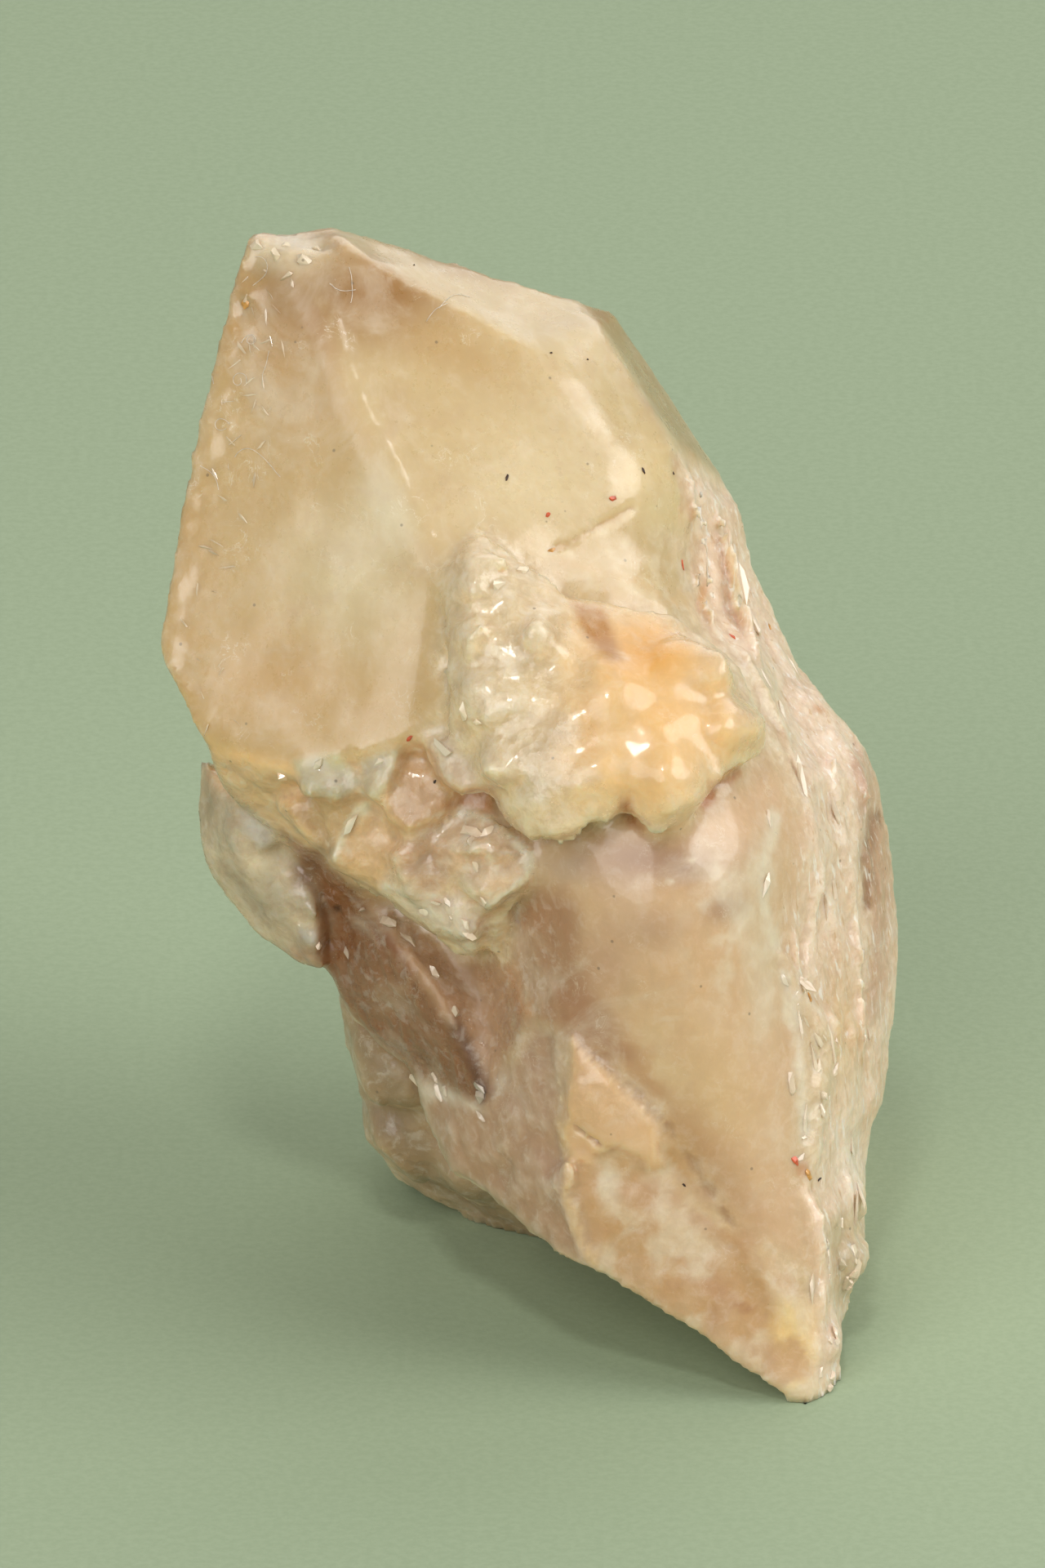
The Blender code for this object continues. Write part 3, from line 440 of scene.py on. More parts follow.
    def meshes(self):
        """The stone with its joined chips, and the crisp chips with narrow worn edges."""
        bmesh.ops.bevel(
            self.crisp, geom=self.crisp.edges[:], offset=0.05 * MM, segments=1, affect="EDGES",
            clamp_overlap=True,
        )
        bmesh.ops.triangulate(self.crisp, faces=self.crisp.faces)
        made = []
        for name, shape in (("chipped", self.body), ("crisp", self.crisp)):
            mesh = bpy.data.meshes.new(name)
            shape.to_mesh(mesh)
            shape.free()
            made.append(mesh)
        return made


def grow_chips(node):
    """Everything small that stands on the stone's main shapes, where the picture shows it."""
    chips = Chips(node)
    # Rounded growth, joined to the stone.
    chips.rows((
        (318, 302, 0.9, 20), (345, 316, 1.1, 0), (378, 312, 1.0, -15), (362, 336, 0.9, 30),
        (334, 338, 0.8, 80), (392, 298, 0.8, -20), (304, 366, 0.9, 60), (410, 290, 0.9, -25),
    ), 0.7, 0.0, 0.45, 24, 0.6)
    left_edge = (300, 360, 268, 450, 246, 560, 226, 680, 206, 770, 222, 850, 262, 925)
    chips.string(left_edge, 64, (1.6, 0.5, 0.14), (-12,), 18)
    for polygon, lift, tilt_right, tilt_up in (
        (OLIVE_FACET, 0.2, -0.3, 0.1), (GLASS_LEFT, 0.7, -0.2, -0.5), (GLASS_RIGHT, 0.8, 0.5, -0.2),
        (PINK_BLOCK, 0.5, 0.1, -0.3), (BEIGE_FACET, 0.7, 0.2, 0.2), (RUST_NOTCH, 0.0, 0.2, 0.2),
        (CHUNK_MIDDLE, 0.2, -0.2, 0.3), (DOME, 0.8, 0.3, -0.1), (CHUNK_WHITE, 0.7, 0.1, 0.4),
        (GLASS_BLADE, 0.7, -0.5, 0.2), (WING, 0.6, 0.4, -0.5), (SHARD_STRIP, 0.4, 0.5, 0.3),
        (SHARD_EDGE, 0.3, 0.5, 0.1), (SHARD_FOOT, 0.4, 0.2, 0.5),
    ):
        chips.facet(polygon, lift, tilt_right, tilt_up)
    chips.add(448, 990, (1.3, 1.0, 0.9), 40, 26, 0.2)
    chips.add(452, 1000, (1.0, 0.8, 0.9), 80, 22, 0.3)
    chips.scatter(DOME, 9, (0.8, 0.7, 0.4), (1.5, 1.2, 0.7), 45, 90, 20)
    chips.scatter(CHUNK_WHITE, 12, (0.5, 0.4, 0.4), (1.0, 0.8, 0.7), 45, 90, 14)
    chips.scatter(DRUSE, 18, (1.0, 0.9, 0.3), (2.4, 1.8, 0.55), 0, 90, 30)
    lower_rim = (576, 920, 606, 968, 650, 1026, 702, 1016, 766, 990, 800, 1008, 850, 985)
    chips.string(lower_rim, 26, (0.9, 0.8, 0.7), (-6,), 30)
    chips.string((850, 985, 905, 935, 938, 900), 24, (0.8, 0.7, 0.6), (-4,), 30)
    chips.string((944, 1000, 934, 1100, 962, 1200, 980, 1300, 985, 1390), 46, (1.2, 0.35, 0.25), (0,), 20)
    chips.scatter(FLANK, 30, (1.6, 0.35, 0.2), (5.6, 1.3, 0.45), -76, 8, 14)
    chips.scatter(WHITE_FOOT, 4, (0.7, 0.6, 0.4), (1.1, 0.9, 0.6), -80, 40, 24)
    chips.scatter(LILAC, 22, (0.6, 0.5, 0.14), (1.7, 1.1, 0.26), -50, 60, 16)
    chips.scatter(LOBE, 12, (0.9, 0.8, 0.3), (2.2, 1.6, 0.6), -60, 60, 26)
    chips.behind(100, (0.9, 0.7, 0.14), (2.6, 1.9, 0.36), 22)
    chips.behind(60, (0.5, 0.4, 0.2), (1.3, 1.0, 0.45), 14)
    # Glassy splinters and broken corners, kept crisp.
    chips.grown = chips.crisp
    for column, row, long_half, wide_half, turn in (
        (392, 942, 0.8, 0.5, 62), (468, 934, 0.7, 0.4, 52), (545, 915, 0.9, 0.5, -40),
        (572, 950, 0.9, 0.6, -35), (345, 950, 0.6, 0.3, -30), (430, 1010, 1.0, 0.3, 60),
    ):
        chips.add(column, row, (long_half, wide_half, 0.5), turn, 11, 0.15)
    chips.rows((
        (912, 716, 1.5, -72), (926, 760, 1.1, -66), (940, 832, 1.4, -62), (958, 868, 1.0, -66),
        (984, 960, 2.0, -80), (992, 1010, 1.2, -78), (1024, 990, 1.4, -62), (1012, 1110, 1.5, -80),
        (964, 1190, 1.3, -64), (982, 1262, 1.6, -70), (998, 1300, 1.5, -72), (1016, 1270, 1.8, -76),
        (970, 1326, 1.0, -70), (986, 1368, 1.4, -84), (1004, 1350, 1.1, -76), (944, 1010, 1.0, -84),
        (936, 1090, 1.2, 80), (1040, 1060, 1.6, -80), (1050, 1180, 1.8, -84), (1004, 1450, 1.3, -78),
        (1014, 1530, 1.2, -80), (996, 1580, 1.2, -84),
    ), 0.0, 0.28, 0.26, 12, 0.25)
    chips.string((355, 1120, 378, 1140, 392, 1160), 18, (0.6, 0.35, 0.25), (0,), 10)
    chips.scatter(DOME, 8, (0.5, 0.35, 0.3), (1.0, 0.7, 0.45), 45, 90, 12)
    chips.scatter(CHUNK_WHITE, 9, (0.35, 0.3, 0.3), (0.7, 0.5, 0.45), 45, 90, 12)
    chips.string((300, 345, 286, 420, 268, 500, 252, 590), 34, (0.8, 0.13, 0.12), (-14, -34, -54), 9)
    chips.string((246, 620, 232, 680, 212, 770, 228, 850, 266, 925), 48, (0.7, 0.12, 0.12), (-16, -40), 9)
    chips.rows((
        (316, 300, 0.6, 20), (336, 312, 0.5, 60), (352, 302, 0.5, 0), (371, 318, 0.6, -15),
        (350, 338, 0.5, 30), (388, 306, 0.4, -20), (303, 366, 0.5, 60), (328, 330, 0.45, 80),
    ), 0.7, 0.0, 0.4, 12, 0.2)
    chips.rows((
        (395, 1112, 0.8, -10), (418, 1122, 0.7, -30), (447, 1112, 0.6, 60), (424, 1168, 0.5, 80),
        (608, 1326, 0.9, 60), (601, 1346, 0.6, 30), (586, 1332, 0.6, -20), (598, 1312, 0.5, 80),
        (500, 1150, 0.7, -48), (532, 1190, 0.6, -52), (560, 1240, 0.5, -60), (590, 1200, 0.6, -50),
        (474, 1128, 0.8, -45), (606, 1230, 0.4, -60),
    ), 0.4, 0.0, 0.3, 10, 0.2)
    chips.string((504, 1316, 545, 1334, 592, 1348), 24, (0.7, 0.4, 0.28), (0, 12), 10)
    chips.rows((
        (640, 700, 0.6, 30), (612, 718, 0.7, 10), (566, 872, 0.7, 60), (590, 884, 0.6, 20),
    ), 0.6, 0.0, 0.35, 12, 0.3)
    chips.scatter(FLANK, 24, (0.5, 0.12, 0.12), (1.6, 0.3, 0.25), -78, 12, 9)
    strip_edge = (956, 1169, 984, 1220, 1018, 1286, 1007, 1344, 990, 1440)
    chips.string(strip_edge, 26, (0.9, 0.3, 0.25), (-6, 6), 10)
    chips.scatter(GLASSY_STRIP, 9, (0.5, 0.3, 0.3), (1.0, 0.6, 0.5), -80, 30, 12)
    chips.scatter(WHITE_FOOT, 8, (0.3, 0.25, 0.2), (0.7, 0.5, 0.35), -80, 40, 12)
    return chips.meshes()


class Stone:
    """The dense mesh with its positions, normals and neighbours at hand."""

    def __init__(self, shape, name):
        source = place_object(name + "_source", shape)
        cell = source.modifiers.new("cells", "REMESH")
        cell.mode = "VOXEL"
        cell.voxel_size = CELL * MM
        depsgraph = bpy.context.evaluated_depsgraph_get()
        mesh = bpy.data.meshes.new_from_object(source.evaluated_get(depsgraph))
        bpy.data.objects.remove(source, do_unlink=True)
        mesh.name = name
        self.mesh = mesh
        self.obj = place_object(name, mesh)
        count = len(mesh.vertices)
        self.co = np.zeros(count * 3)
        mesh.vertices.foreach_get("co", self.co)
        self.co = self.co.reshape(-1, 3)
        edges = np.zeros(len(mesh.edges) * 2, np.int64)
        mesh.edges.foreach_get("vertices", edges)
        self.edges = edges.reshape(-1, 2)
        ends = self.edges.ravel()
        self.degree = np.bincount(ends, minlength=count).astype(float)
        self.refresh()

    def refresh(self):
        self.mesh.vertices.foreach_set("co", self.co.ravel())
        self.mesh.update()
        flat = np.zeros(len(self.mesh.vertices) * 3)
        self.mesh.vertex_normals.foreach_get("vector", flat)
        self.normal = flat.reshape(-1, 3)
        self.view = view_frame(self.co)
        self.facing = view_normals(self.normal)

    def neighbour_mean(self, values):
        a, b = self.edges[:, 0], self.edges[:, 1]
        out = np.zeros_like(values)
        for k in range(values.shape[1]):
            out[:, k] = np.bincount(a, values[b, k], minlength=len(values))
            out[:, k] += np.bincount(b, values[a, k], minlength=len(values))
        return out / self.degree[:, None]

    def smooth(self, weight, rounds):
        for _ in range(max(1, round(rounds * (ROUNDS_CELL / CELL) ** 2))):
            mean = self.neighbour_mean(self.co)
            self.co += (mean - self.co) * weight[:, None]
        self.refresh()

    def spread(self, values, rounds):
        out = values[:, None].copy()
        for _ in range(rounds):
            out = 0.5 * out + 0.5 * self.neighbour_mean(out)
        return out[:, 0]

    def push(self, amount):
        self.co += self.normal * (amount * MM)[:, None]
        self.refresh()


chipped_shape, crisp_shape = grow_chips(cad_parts["citrine"])
stone = Stone(chipped_shape, "raw_citrine")
base_level = stone.co[:, 2] < BASE_LEVEL
front = ease(stone.facing[:, 2] * 2.5 + 0.6)


def region(polygon, soft, ragged=0.0):
    """How much each point of the visible side lies in a region, with a soft or ragged edge."""
    distance = signed_distance(stone.view[:, :2], polygon)
    if ragged:
        near = np.abs(distance) < ragged * 2.0 + soft
        wobble = np.zeros(len(distance))
        wobble[near] = layered(stone.view[near], 1.6, 3.0, 3) * ragged
        distance = distance + wobble
    return ease(distance / soft * 0.5 + 0.5) * front


def spot(column, row, across, down, soft, turn=0.0):
    """A soft round patch on the front, at a picture point and with picture half-widths."""
    centre = outline(column, row)[0]
    away = stone.view[:, :2] - centre
    c, s = math.cos(math.radians(turn)), math.sin(math.radians(turn))
    away = away @ np.array([[c, -s], [s, c]])
    away = np.linalg.norm(away / (np.array([across, down]) / PX_PER_MM), axis=1)
    return ease((1.0 - away) / soft) * front


def line(corners, half_width, ragged=0.0):
    """A drawn line on the front: corners in the picture, half its width in millimetres."""
    path = outline(*corners)
    best = path_distance(stone.view[:, :2], path[:-1], path[1:])
    if ragged:
        near = best < half_width + ragged * 2.0
        wobble = np.zeros(len(best))
        wobble[near] = layered(stone.view[near], 1.2, 5.0, 3) * ragged
        best = best + wobble
    return ease(1.0 - best / half_width) * front


# How strongly each kind of surface shows at each point.
druse = region(DRUSE, 0.8) * ease((stone.view[:, 2] - 4.0) / 2.0)
orange = region(DRUSE_ORANGE, 3.0, 0.8) * druse
chunk = region(CHUNK, 0.8)
crown = np.clip(region(FACE_LEFT, 0.8) + region(FACE_MIDDLE, 0.8) + region(FACE_TOP, 0.6), 0, 1)
crown = np.clip(crown + region(FACE_FAR, 0.6), 0, 1) * (1.0 - druse)
swell = region(FRONT_FACE, 1.6) * (1.0 - druse)
cream = region(CREAM_FACE, 1.0)
plate = region(PLATE, 0.25, 0.25)
lilac = region(LILAC, 0.8)
smoky = np.clip(region(SMOKY_LEFT, 0.6) + region(SMOKY_RIGHT, 0.6), 0, 1) * (1.0 - chunk)
flank = region(FLANK, 0.8)
lobe = region(LOBE, 1.2)
shard = region(SHARD, 0.8)
ledge = region(LEDGE, 0.8) * (1.0 - chunk)
hidden = np.clip(1.0 - front, 0.0, 1.0)
known = crown + swell + cream + plate + lilac + smoky + flank + lobe + shard + ledge + druse + chunk
rest = np.clip(1.0 - known, 0.0, 1.0)
prism_back = hidden * ease((stone.view[:, 1] - 24.0) / 4.0)
rough_back = hidden * (1.0 - prism_back)
left_edge = line(
    (300, 330, 268, 440, 244, 560, 224, 680, 204, 780, 222, 850, 262, 930), 2.4
)

# Soften the cell steps everywhere, and round the swollen and rough places further.
stone.smooth(np.full(len(stone.co), 0.5), 2)
stone.smooth(0.5 * np.clip(swell * 1.0 - 0.1, 0.0, 0.9), 160)
stone.smooth(0.5 * np.clip(lobe * 0.6 + cream * 0.3 + orange * 0.9, 0.0, 0.9), 16)
stone.smooth(0.5 * np.clip(rough_back * 0.5 + crown * 0.4 * (1.0 - left_edge), 0.0, 0.9), 8)
stone.smooth(0.5 * np.clip(spot(752, 1350, 84, 110, 0.4, 30), 0.0, 0.95), 120)
stone.smooth(0.2 * ledge, 3)
stone.smooth(0.5 * np.clip(spot(750, 672, 130, 76, 0.6), 0.0, 0.95), 220)
stone.smooth(0.5 * smoky, 12)
stone.smooth(0.5 * line(HOLLOW_RIDGE, 3.0), 90)
stone.smooth(0.5 * line(HOLLOW_EDGE, 2.2), 50)
stone.smooth(0.5 * line(RIDGE_LEFT, 2.0), 50)
stone.smooth(0.5 * line((694, 454, 735, 522, 782, 580, 770, 612, 690, 666), 3.0), 60)

# Where edges stand out, they are worn and nicked.
bend = stone.neighbour_mean(stone.co) - stone.co
outward = -(bend * stone.normal).sum(axis=1) / MM
edge = stone.spread(np.clip(outward * 30.0, 0.0, 1.0), 2)

view = stone.view.copy()
relief = np.zeros(len(view))


def shape(weight, pattern, *values):
    """Adds a height pattern in millimetres where a kind of surface shows."""
    there = np.abs(weight) > 0.01
    relief[there] += weight[there] * pattern(view[there], *values)


def pyramids(points, scale, seed):
    return 0.6 - cells(points, scale, seed, metric="MANHATTAN")[0]


def nicks(points, scale, seed):
    return np.clip(layered(points, scale, seed, 3) + 0.35, 0.0, 1.0)


def terrace(points, scale, seed):
    return 1.0 + 0.3 * layered(points, scale, seed, 3)


def blocks(points, scale, seed):
    near, second = cells(points, scale, seed)
    return np.clip(second - near, 0.0, 0.7) - 0.3


def fibres(points, scale, seed, length=8.0):
    along = points.copy()
    along[:, 0] += 0.25 * points[:, 1]
    return perlin(along, scale, seed, (1.0, length, 1.4))


def ripples(points, scale, seed):
    return np.abs(np.sin(perlin(points, scale, seed) * 8.0)) - 0.5


def growth_lines(points, scale, seed):
    across = points[:, 0] * 0.5 - points[:, 1] * 0.865
    lines = np.sin(across * 5.2 + 2.5 * perlin(points, scale, seed))
    return lines * ease(perlin(points, 7.0, 31.0) + 0.6)


shape(0.05 * crown, perlin, 3.2, 1.0)
shape(0.10 * left_edge, layered, 1.8, 2.0, 4)
worn = edge * (crown + prism_back) * (1.0 - left_edge)
shape(-0.16 * worn, nicks, 1.3, 5.0)
fresh = druse * (1.0 - orange)
shape(0.24 * fresh, pyramids, 3.2, 6.0)
shape(0.05 * fresh, layered, 1.2, 8.0, 3)
shape(0.15 * orange, layered, 3.6, 7.0, 2)
shape(0.45 * chunk, pyramids, 2.1, 9.0)
shape(0.10 * chunk, layered, 1.0, 10.0, 3)
shape(0.30 * ledge, pyramids, 2.4, 11.0)
shape(0.08 * ledge, layered, 1.2, 12.0, 3)
torn = ease(layered(view, 4.0, 33.0, 2) * 1.4 + 0.5)
shape(0.12 * flank * torn, fibres, 0.7, 13.0)
shape(0.24 * flank, fibres, 2.8, 14.0, 5.0)
shape(0.20 * flank, layered, 3.6, 15.0, 3)
shape(0.10 * swell, perlin, 4.5, 16.0)
shape(0.05 * swell, perlin, 1.6, 17.0)
shape(0.18 * cream, layered, 3.0, 18.0, 3)
shape(0.34 * plate, terrace, 1.6, 20.0)
shape(0.22 * lilac, layered, 2.4, 21.0, 4)
shape(0.13 * smoky, ripples, 3.4, 23.0)
shape(0.05 * smoky, layered, 0.8, 24.0, 3)
shape(0.35 * lobe, layered, 3.4, 25.0, 4)
shape(0.18 * shard, layered, 2.4, 26.0, 3)
shape(0.50 * rough_back, blocks, 4.2, 27.0)
shape(0.30 * rough_back, layered, 2.6, 28.0, 4)
shape(0.12 * rest, layered, 1.8, 29.0, 3)
shape(0.03 * prism_back, growth_lines, 5.0, 30.0)
shape(0.12 * prism_back, perlin, 4.2, 34.0)
shape(0.04 * prism_back, perlin, 1.1, 4.0)

relief += 0.2 * line(FLANK_RIDGE, 0.7, 0.3) + 0.04 * line(HOLLOW_RIDGE, 0.5, 0.3)
relief += 0.16 * line(DOME_RIM, 0.4, 0.2) + 0.14 * line(WHITE_RIM, 0.4, 0.3)
relief += 0.12 * line(CREAM_RIDGE, 0.6, 0.3)
relief -= 0.12 * line((676, 674, 700, 665, 740, 641, 774, 622), 0.35, 0.15)
relief -= 0.08 * line(FLANK_GROOVE, 0.6, 0.4) + 0.2 * line(SHADED_BROWN_GROOVE, 0.8, 0.2)
relief -= 0.12 * line(FRONT_LINE, 0.5, 0.4)

relief[base_level] = 0.0
stone.push(np.clip(relief, -RELIEF_LIMIT, RELIEF_LIMIT))
low = np.array(cad_low) + 1e-6
high = np.array(cad_high) - 1e-6
stone.co = np.clip(stone.co, low, high)
stone.co[base_level, 2] = low[2]
stone.refresh()

# How far each point stands above its surroundings: raised rims are painted lighter as painted highlights,
# and hollows take tones of their own.
wide = stone.co.copy()
for _ in range(10):
    wide = 0.4 * wide + 0.6 * stone.neighbour_mean(wide)
height = ((stone.co - wide) * stone.normal).sum(axis=1) / MM
rim = np.clip(height / PIT_DEPTH, 0.0, 1.0)
pit = np.clip(-height / PIT_DEPTH, 0.0, 1.0)

# Colour, clearness and frosting of each point.
view = stone.view
drift = layered(view, 9.0, 40.0, 3)
fine = layered(view, 2.2, 43.0, 3)
count = len(view)
WHITE = (240, 232, 216)
pale = ease(drift * 0.8 + 0.5)[:, None]
tint = linear(218, 192, 154) * (1.0 - pale) + linear(228, 212, 182) * pale


def paint(amount, colour, strength=1.0):
    share = np.clip(amount * strength, 0.0, 1.0)[:, None]
    tint[:] = tint * (1.0 - share) + linear(*colour) * share


def fill(polygon, soft, colour, strength=1.0, ragged=0.0):
    paint(region(polygon, soft, ragged), colour, strength)


def dab(column, row, across, down, colour, strength, turn=0.0, soft=1.0):
    paint(spot(column, row, across, down, soft, turn), colour, strength)


def stroke(corners, half_width, ragged, colour, strength):
    paint(line(corners, half_width, ragged), colour, strength)


# The tip's faces.
fill(FACE_LEFT, 1.0, (212, 186, 144))
dab(430, 700, 150, 150, (222, 208, 178), 0.9)
dab(480, 620, 60, 90, (226, 220, 198), 0.6, 20)
dab(330, 840, 150, 110, (212, 178, 132), 0.75)
dab(450, 870, 90, 60, (212, 182, 138), 0.7)
dab(350, 400, 140, 130, (196, 156, 104), 0.9)
dab(360, 500, 90, 90, (214, 186, 150), 0.6)
dab(230, 700, 60, 240, (214, 182, 140), 0.6)
fill(FACE_MIDDLE, 0.8, (212, 192, 158))
dab(460, 360, 170, 110, (158, 114, 58), 0.95)
dab(560, 430, 120, 60, (200, 170, 126), 0.7, -20)
dab(650, 590, 170, 120, (226, 212, 186), 0.9)
dab(560, 560, 90, 60, (210, 190, 154), 0.6)
fill(FACE_TOP, 0.5, (206, 188, 152))
dab(560, 320, 110, 30, (182, 152, 116), 0.7, -20)
dab(710, 450, 70, 70, (216, 200, 170), 0.8)
fill(FACE_FAR, 0.6, (184, 156, 112))
dab(800, 590, 60, 90, (228, 208, 170), 0.85)
# A painted highlight: white on the wet-looking apex.
dab(350, 308, 70, 40, WHITE, 0.75, soft=0.8)
fill(RECESS, 0.5, (206, 184, 146), 0.6, 0.5)
# Painted highlights: white patches over the recess, which faces up into the light.
paint(region(RECESS, 0.5, 0.5) * ease(layered(view, 1.6, 77.0, 3) * 3.0), WHITE, 0.4)
stroke((676, 674, 700, 665, 740, 641, 774, 622), 0.3, 0.15, (204, 170, 122), 0.6)
stroke((690, 690, 730, 700, 780, 712, 830, 742), 0.25, 0.3, (214, 186, 146), 0.5)
dab(812, 620, 50, 60, (220, 204, 174), 0.8)
# The right flank.
paint(flank, (244, 230, 206))
paint(flank * pit, (214, 178, 134), 0.4)
paint(flank * rim, WHITE, 0.6)
paint(flank * ease(drift * 1.6 - 0.2), (218, 186, 148), 0.5)
stroke((850, 660, 890, 760, 950, 880, 1010, 1010, 1030, 1120), 2.0, 0.5, (240, 228, 206), 0.6)
stroke((1058, 930, 1076, 1040, 1080, 1150, 1074, 1240), 1.3, 0.4, (196, 160, 136), 0.7)
dab(1036, 1270, 40, 120, (234, 208, 160), 0.7)
dab(1045, 1430, 40, 80, (250, 244, 228), 0.9)
dab(1086, 1060, 34, 190, (204, 164, 132), 0.75)
dab(905, 640, 26, 70, (206, 184, 148), 0.5)
# The smooth lower face.
fill(FRONT_FACE, 1.4, (220, 188, 154))
# Painted shadow: a dark band just below the druse crust's lower edge.
dab(800, 1050, 150, 50, (174, 136, 108), 0.9)
dab(900, 1080, 60, 80, (220, 196, 172), 0.7)
dab(930, 1180, 40, 160, (226, 208, 184), 0.75)
dab(840, 1200, 110, 120, (220, 186, 150), 0.7)
dab(860, 1340, 120, 120, (222, 194, 154), 0.8, -30)
fill(TAN_BAND, 1.4, (196, 154, 114), 0.75)
fill(BROWN_ZONE, 0.9, (176, 130, 98), 0.9, 0.3)
dab(740, 1180, 50, 90, (200, 164, 138), 0.7)
mist = ease(layered(view, 2.6, 57.0, 4) * 2.0 + 0.1)
paint(swell * mist * spot(900, 1130, 110, 170, 1.0), (234, 220, 200), 0.9)
paint(swell * mist * spot(800, 1300, 120, 100, 1.0), (230, 208, 172), 0.6)
stroke((944, 1000, 934, 1100, 962, 1200, 980, 1300, 985, 1390), 0.7, 0.4, WHITE, 0.7)
dab(835, 1062, 52, 30, (190, 166, 156), 0.7)
# Two painted highlights near the top of the lower face.
dab(845, 1053, 8, 7, WHITE, 0.8)
dab(820, 1078, 8, 6, WHITE, 0.7)
dab(700, 1062, 56, 32, (206, 184, 172), 0.6)
dab(886, 1112, 44, 28, (166, 130, 106), 0.65, 20)
dab(800, 1140, 60, 40, (184, 150, 126), 0.5)
fill(CREAM_FACE, 0.8, (212, 172, 128))
dab(800, 1470, 80, 60, (214, 178, 146), 0.7, -40)
dab(860, 1560, 60, 30, (206, 160, 126), 0.6, -40)
dab(740, 1400, 50, 40, (232, 212, 184), 0.6)
fill(PEACH_FOOT, 0.8, (250, 222, 164), 0.9)
blotch = ease(layered(view, 3.2, 47.0, 4) * 2.2 + 0.3)
paint(cream * blotch, (236, 218, 194), 0.75)
paint(cream * ease(layered(view, 2.4, 52.0, 4) * 2.5 - 0.4), (206, 164, 126), 0.7)
dab(745, 1452, 22, 40, (240, 228, 210), 0.7, soft=0.8)
stroke((808, 1428, 860, 1480, 930, 1530), 0.5, 0.2, (238, 214, 176), 0.5)
dab(912, 1515, 30, 18, (204, 158, 120), 0.6, -30, soft=0.8)
dab(910, 1600, 22, 8, (184, 134, 96), 0.7, -20, soft=0.8)
paint(cream * rim, WHITE, 0.25)
paint(lilac, (192, 158, 132))
paint(lilac * rim, (226, 212, 200), 0.6)
paint(lilac * pit, (178, 144, 122), 0.4)
fill(MILKY_PATCH, 0.4, (232, 222, 208), 0.85, 0.3)
dab(604, 1322, 26, 30, (226, 216, 206), 0.8, soft=0.8)
fill(PLATE, 0.3, (230, 194, 154), 1.0, 0.25)
dab(780, 1405, 40, 26, (238, 206, 172), 0.7, -30, soft=0.8)
# The back lobe: its own greyish tone, darkened with painted shade.
paint(lobe, (168, 146, 118))
paint(lobe * pit, (176, 146, 116), 0.4)
# The side crystal, the ledge under the tip and the smoky hollow.
paint(shard, (238, 226, 198))
dab(254, 985, 20, 70, (180, 160, 126), 0.7)
dab(325, 1085, 40, 90, (246, 236, 208), 0.8, 35)
dab(366, 1172, 34, 22, (216, 180, 150), 0.8)
# Painted highlights: the near-white strip here and the near-white foot two lines below.
fill(SHARD_STRIP, 0.2, (255, 250, 240), 0.95)
fill(SHARD_EDGE, 0.2, (238, 226, 200), 0.8)
fill(SHARD_FOOT, 0.2, (255, 250, 240), 0.95)
fill(LEDGE, 0.8, (232, 200, 160))
dab(300, 940, 60, 34, (216, 180, 132), 0.8)
fill(TAN_LEDGE, 0.6, (250, 216, 172), 0.85, 0.2)
fill(GLASS_LEFT, 0.3, (234, 230, 204), 0.9)
# A painted highlight on the left glassy block.
dab(412, 955, 22, 14, WHITE, 0.7, 30, soft=0.8)
fill(GLASS_RIGHT, 0.3, (232, 222, 194), 0.9)
# A painted highlight on the right glassy block.
dab(466, 936, 18, 12, WHITE, 0.6, 50, soft=0.8)
fill(OLIVE_FACET, 0.3, (204, 172, 128), 0.8)
fill(GLASS_BLADE, 0.2, (232, 226, 204), 0.9)
fill(BEIGE_FACET, 0.3, (228, 194, 150), 0.9)
fill(PINK_BLOCK, 0.3, (206, 170, 130), 0.9)
fill(WING, 0.3, (226, 208, 188), 0.9)
fill(RUST_NOTCH, 0.4, (196, 134, 88), 0.9, 0.2)
# The hollow's dark brown is partly its smoky colour and partly painted shade.
fill(SMOKY_LEFT, 0.6, (158, 110, 76), 1.0, 0.2)
fill(SMOKY_RIGHT, 0.6, (202, 170, 142), 1.0, 0.2)
dab(380, 1060, 26, 50, (142, 104, 74), 0.9, -40, soft=0.9)
dab(480, 1230, 50, 60, (178, 144, 116), 0.6, 40)
# Painted shade: the dark corner at the hollow's lower end.
stroke((557, 1258, 580, 1300, 592, 1340), 0.9, 0.2, (110, 72, 50), 0.85)
dab(412, 1113, 9, 7, (60, 40, 30), 0.9, soft=0.8)
paint(chunk, (232, 214, 186))
paint(chunk * pit, (200, 168, 138), 0.5)
paint(chunk * rim, WHITE, 0.6)
fill(DOME, 0.5, (234, 208, 182), 0.8, 0.2)
fill(CHUNK_MIDDLE, 0.5, (206, 170, 142), 0.85, 0.3)
fill(CHUNK_WHITE, 0.4, (255, 238, 222), 0.9, 0.3)
dab(606, 1056, 28, 26, (196, 164, 138), 0.6)
# A painted highlight along the dome's bright rim.
stroke(DOME_RIM, 0.45, 0.25, WHITE, 0.95)
stroke(WHITE_RIM, 0.4, 0.3, WHITE, 0.95)
stroke((556, 1030, 592, 1038, 612, 1072), 0.25, 0.3, WHITE, 0.6)
stroke((497, 1094, 520, 1060, 545, 1052, 575, 1062), 0.25, 0.3, WHITE, 0.5)
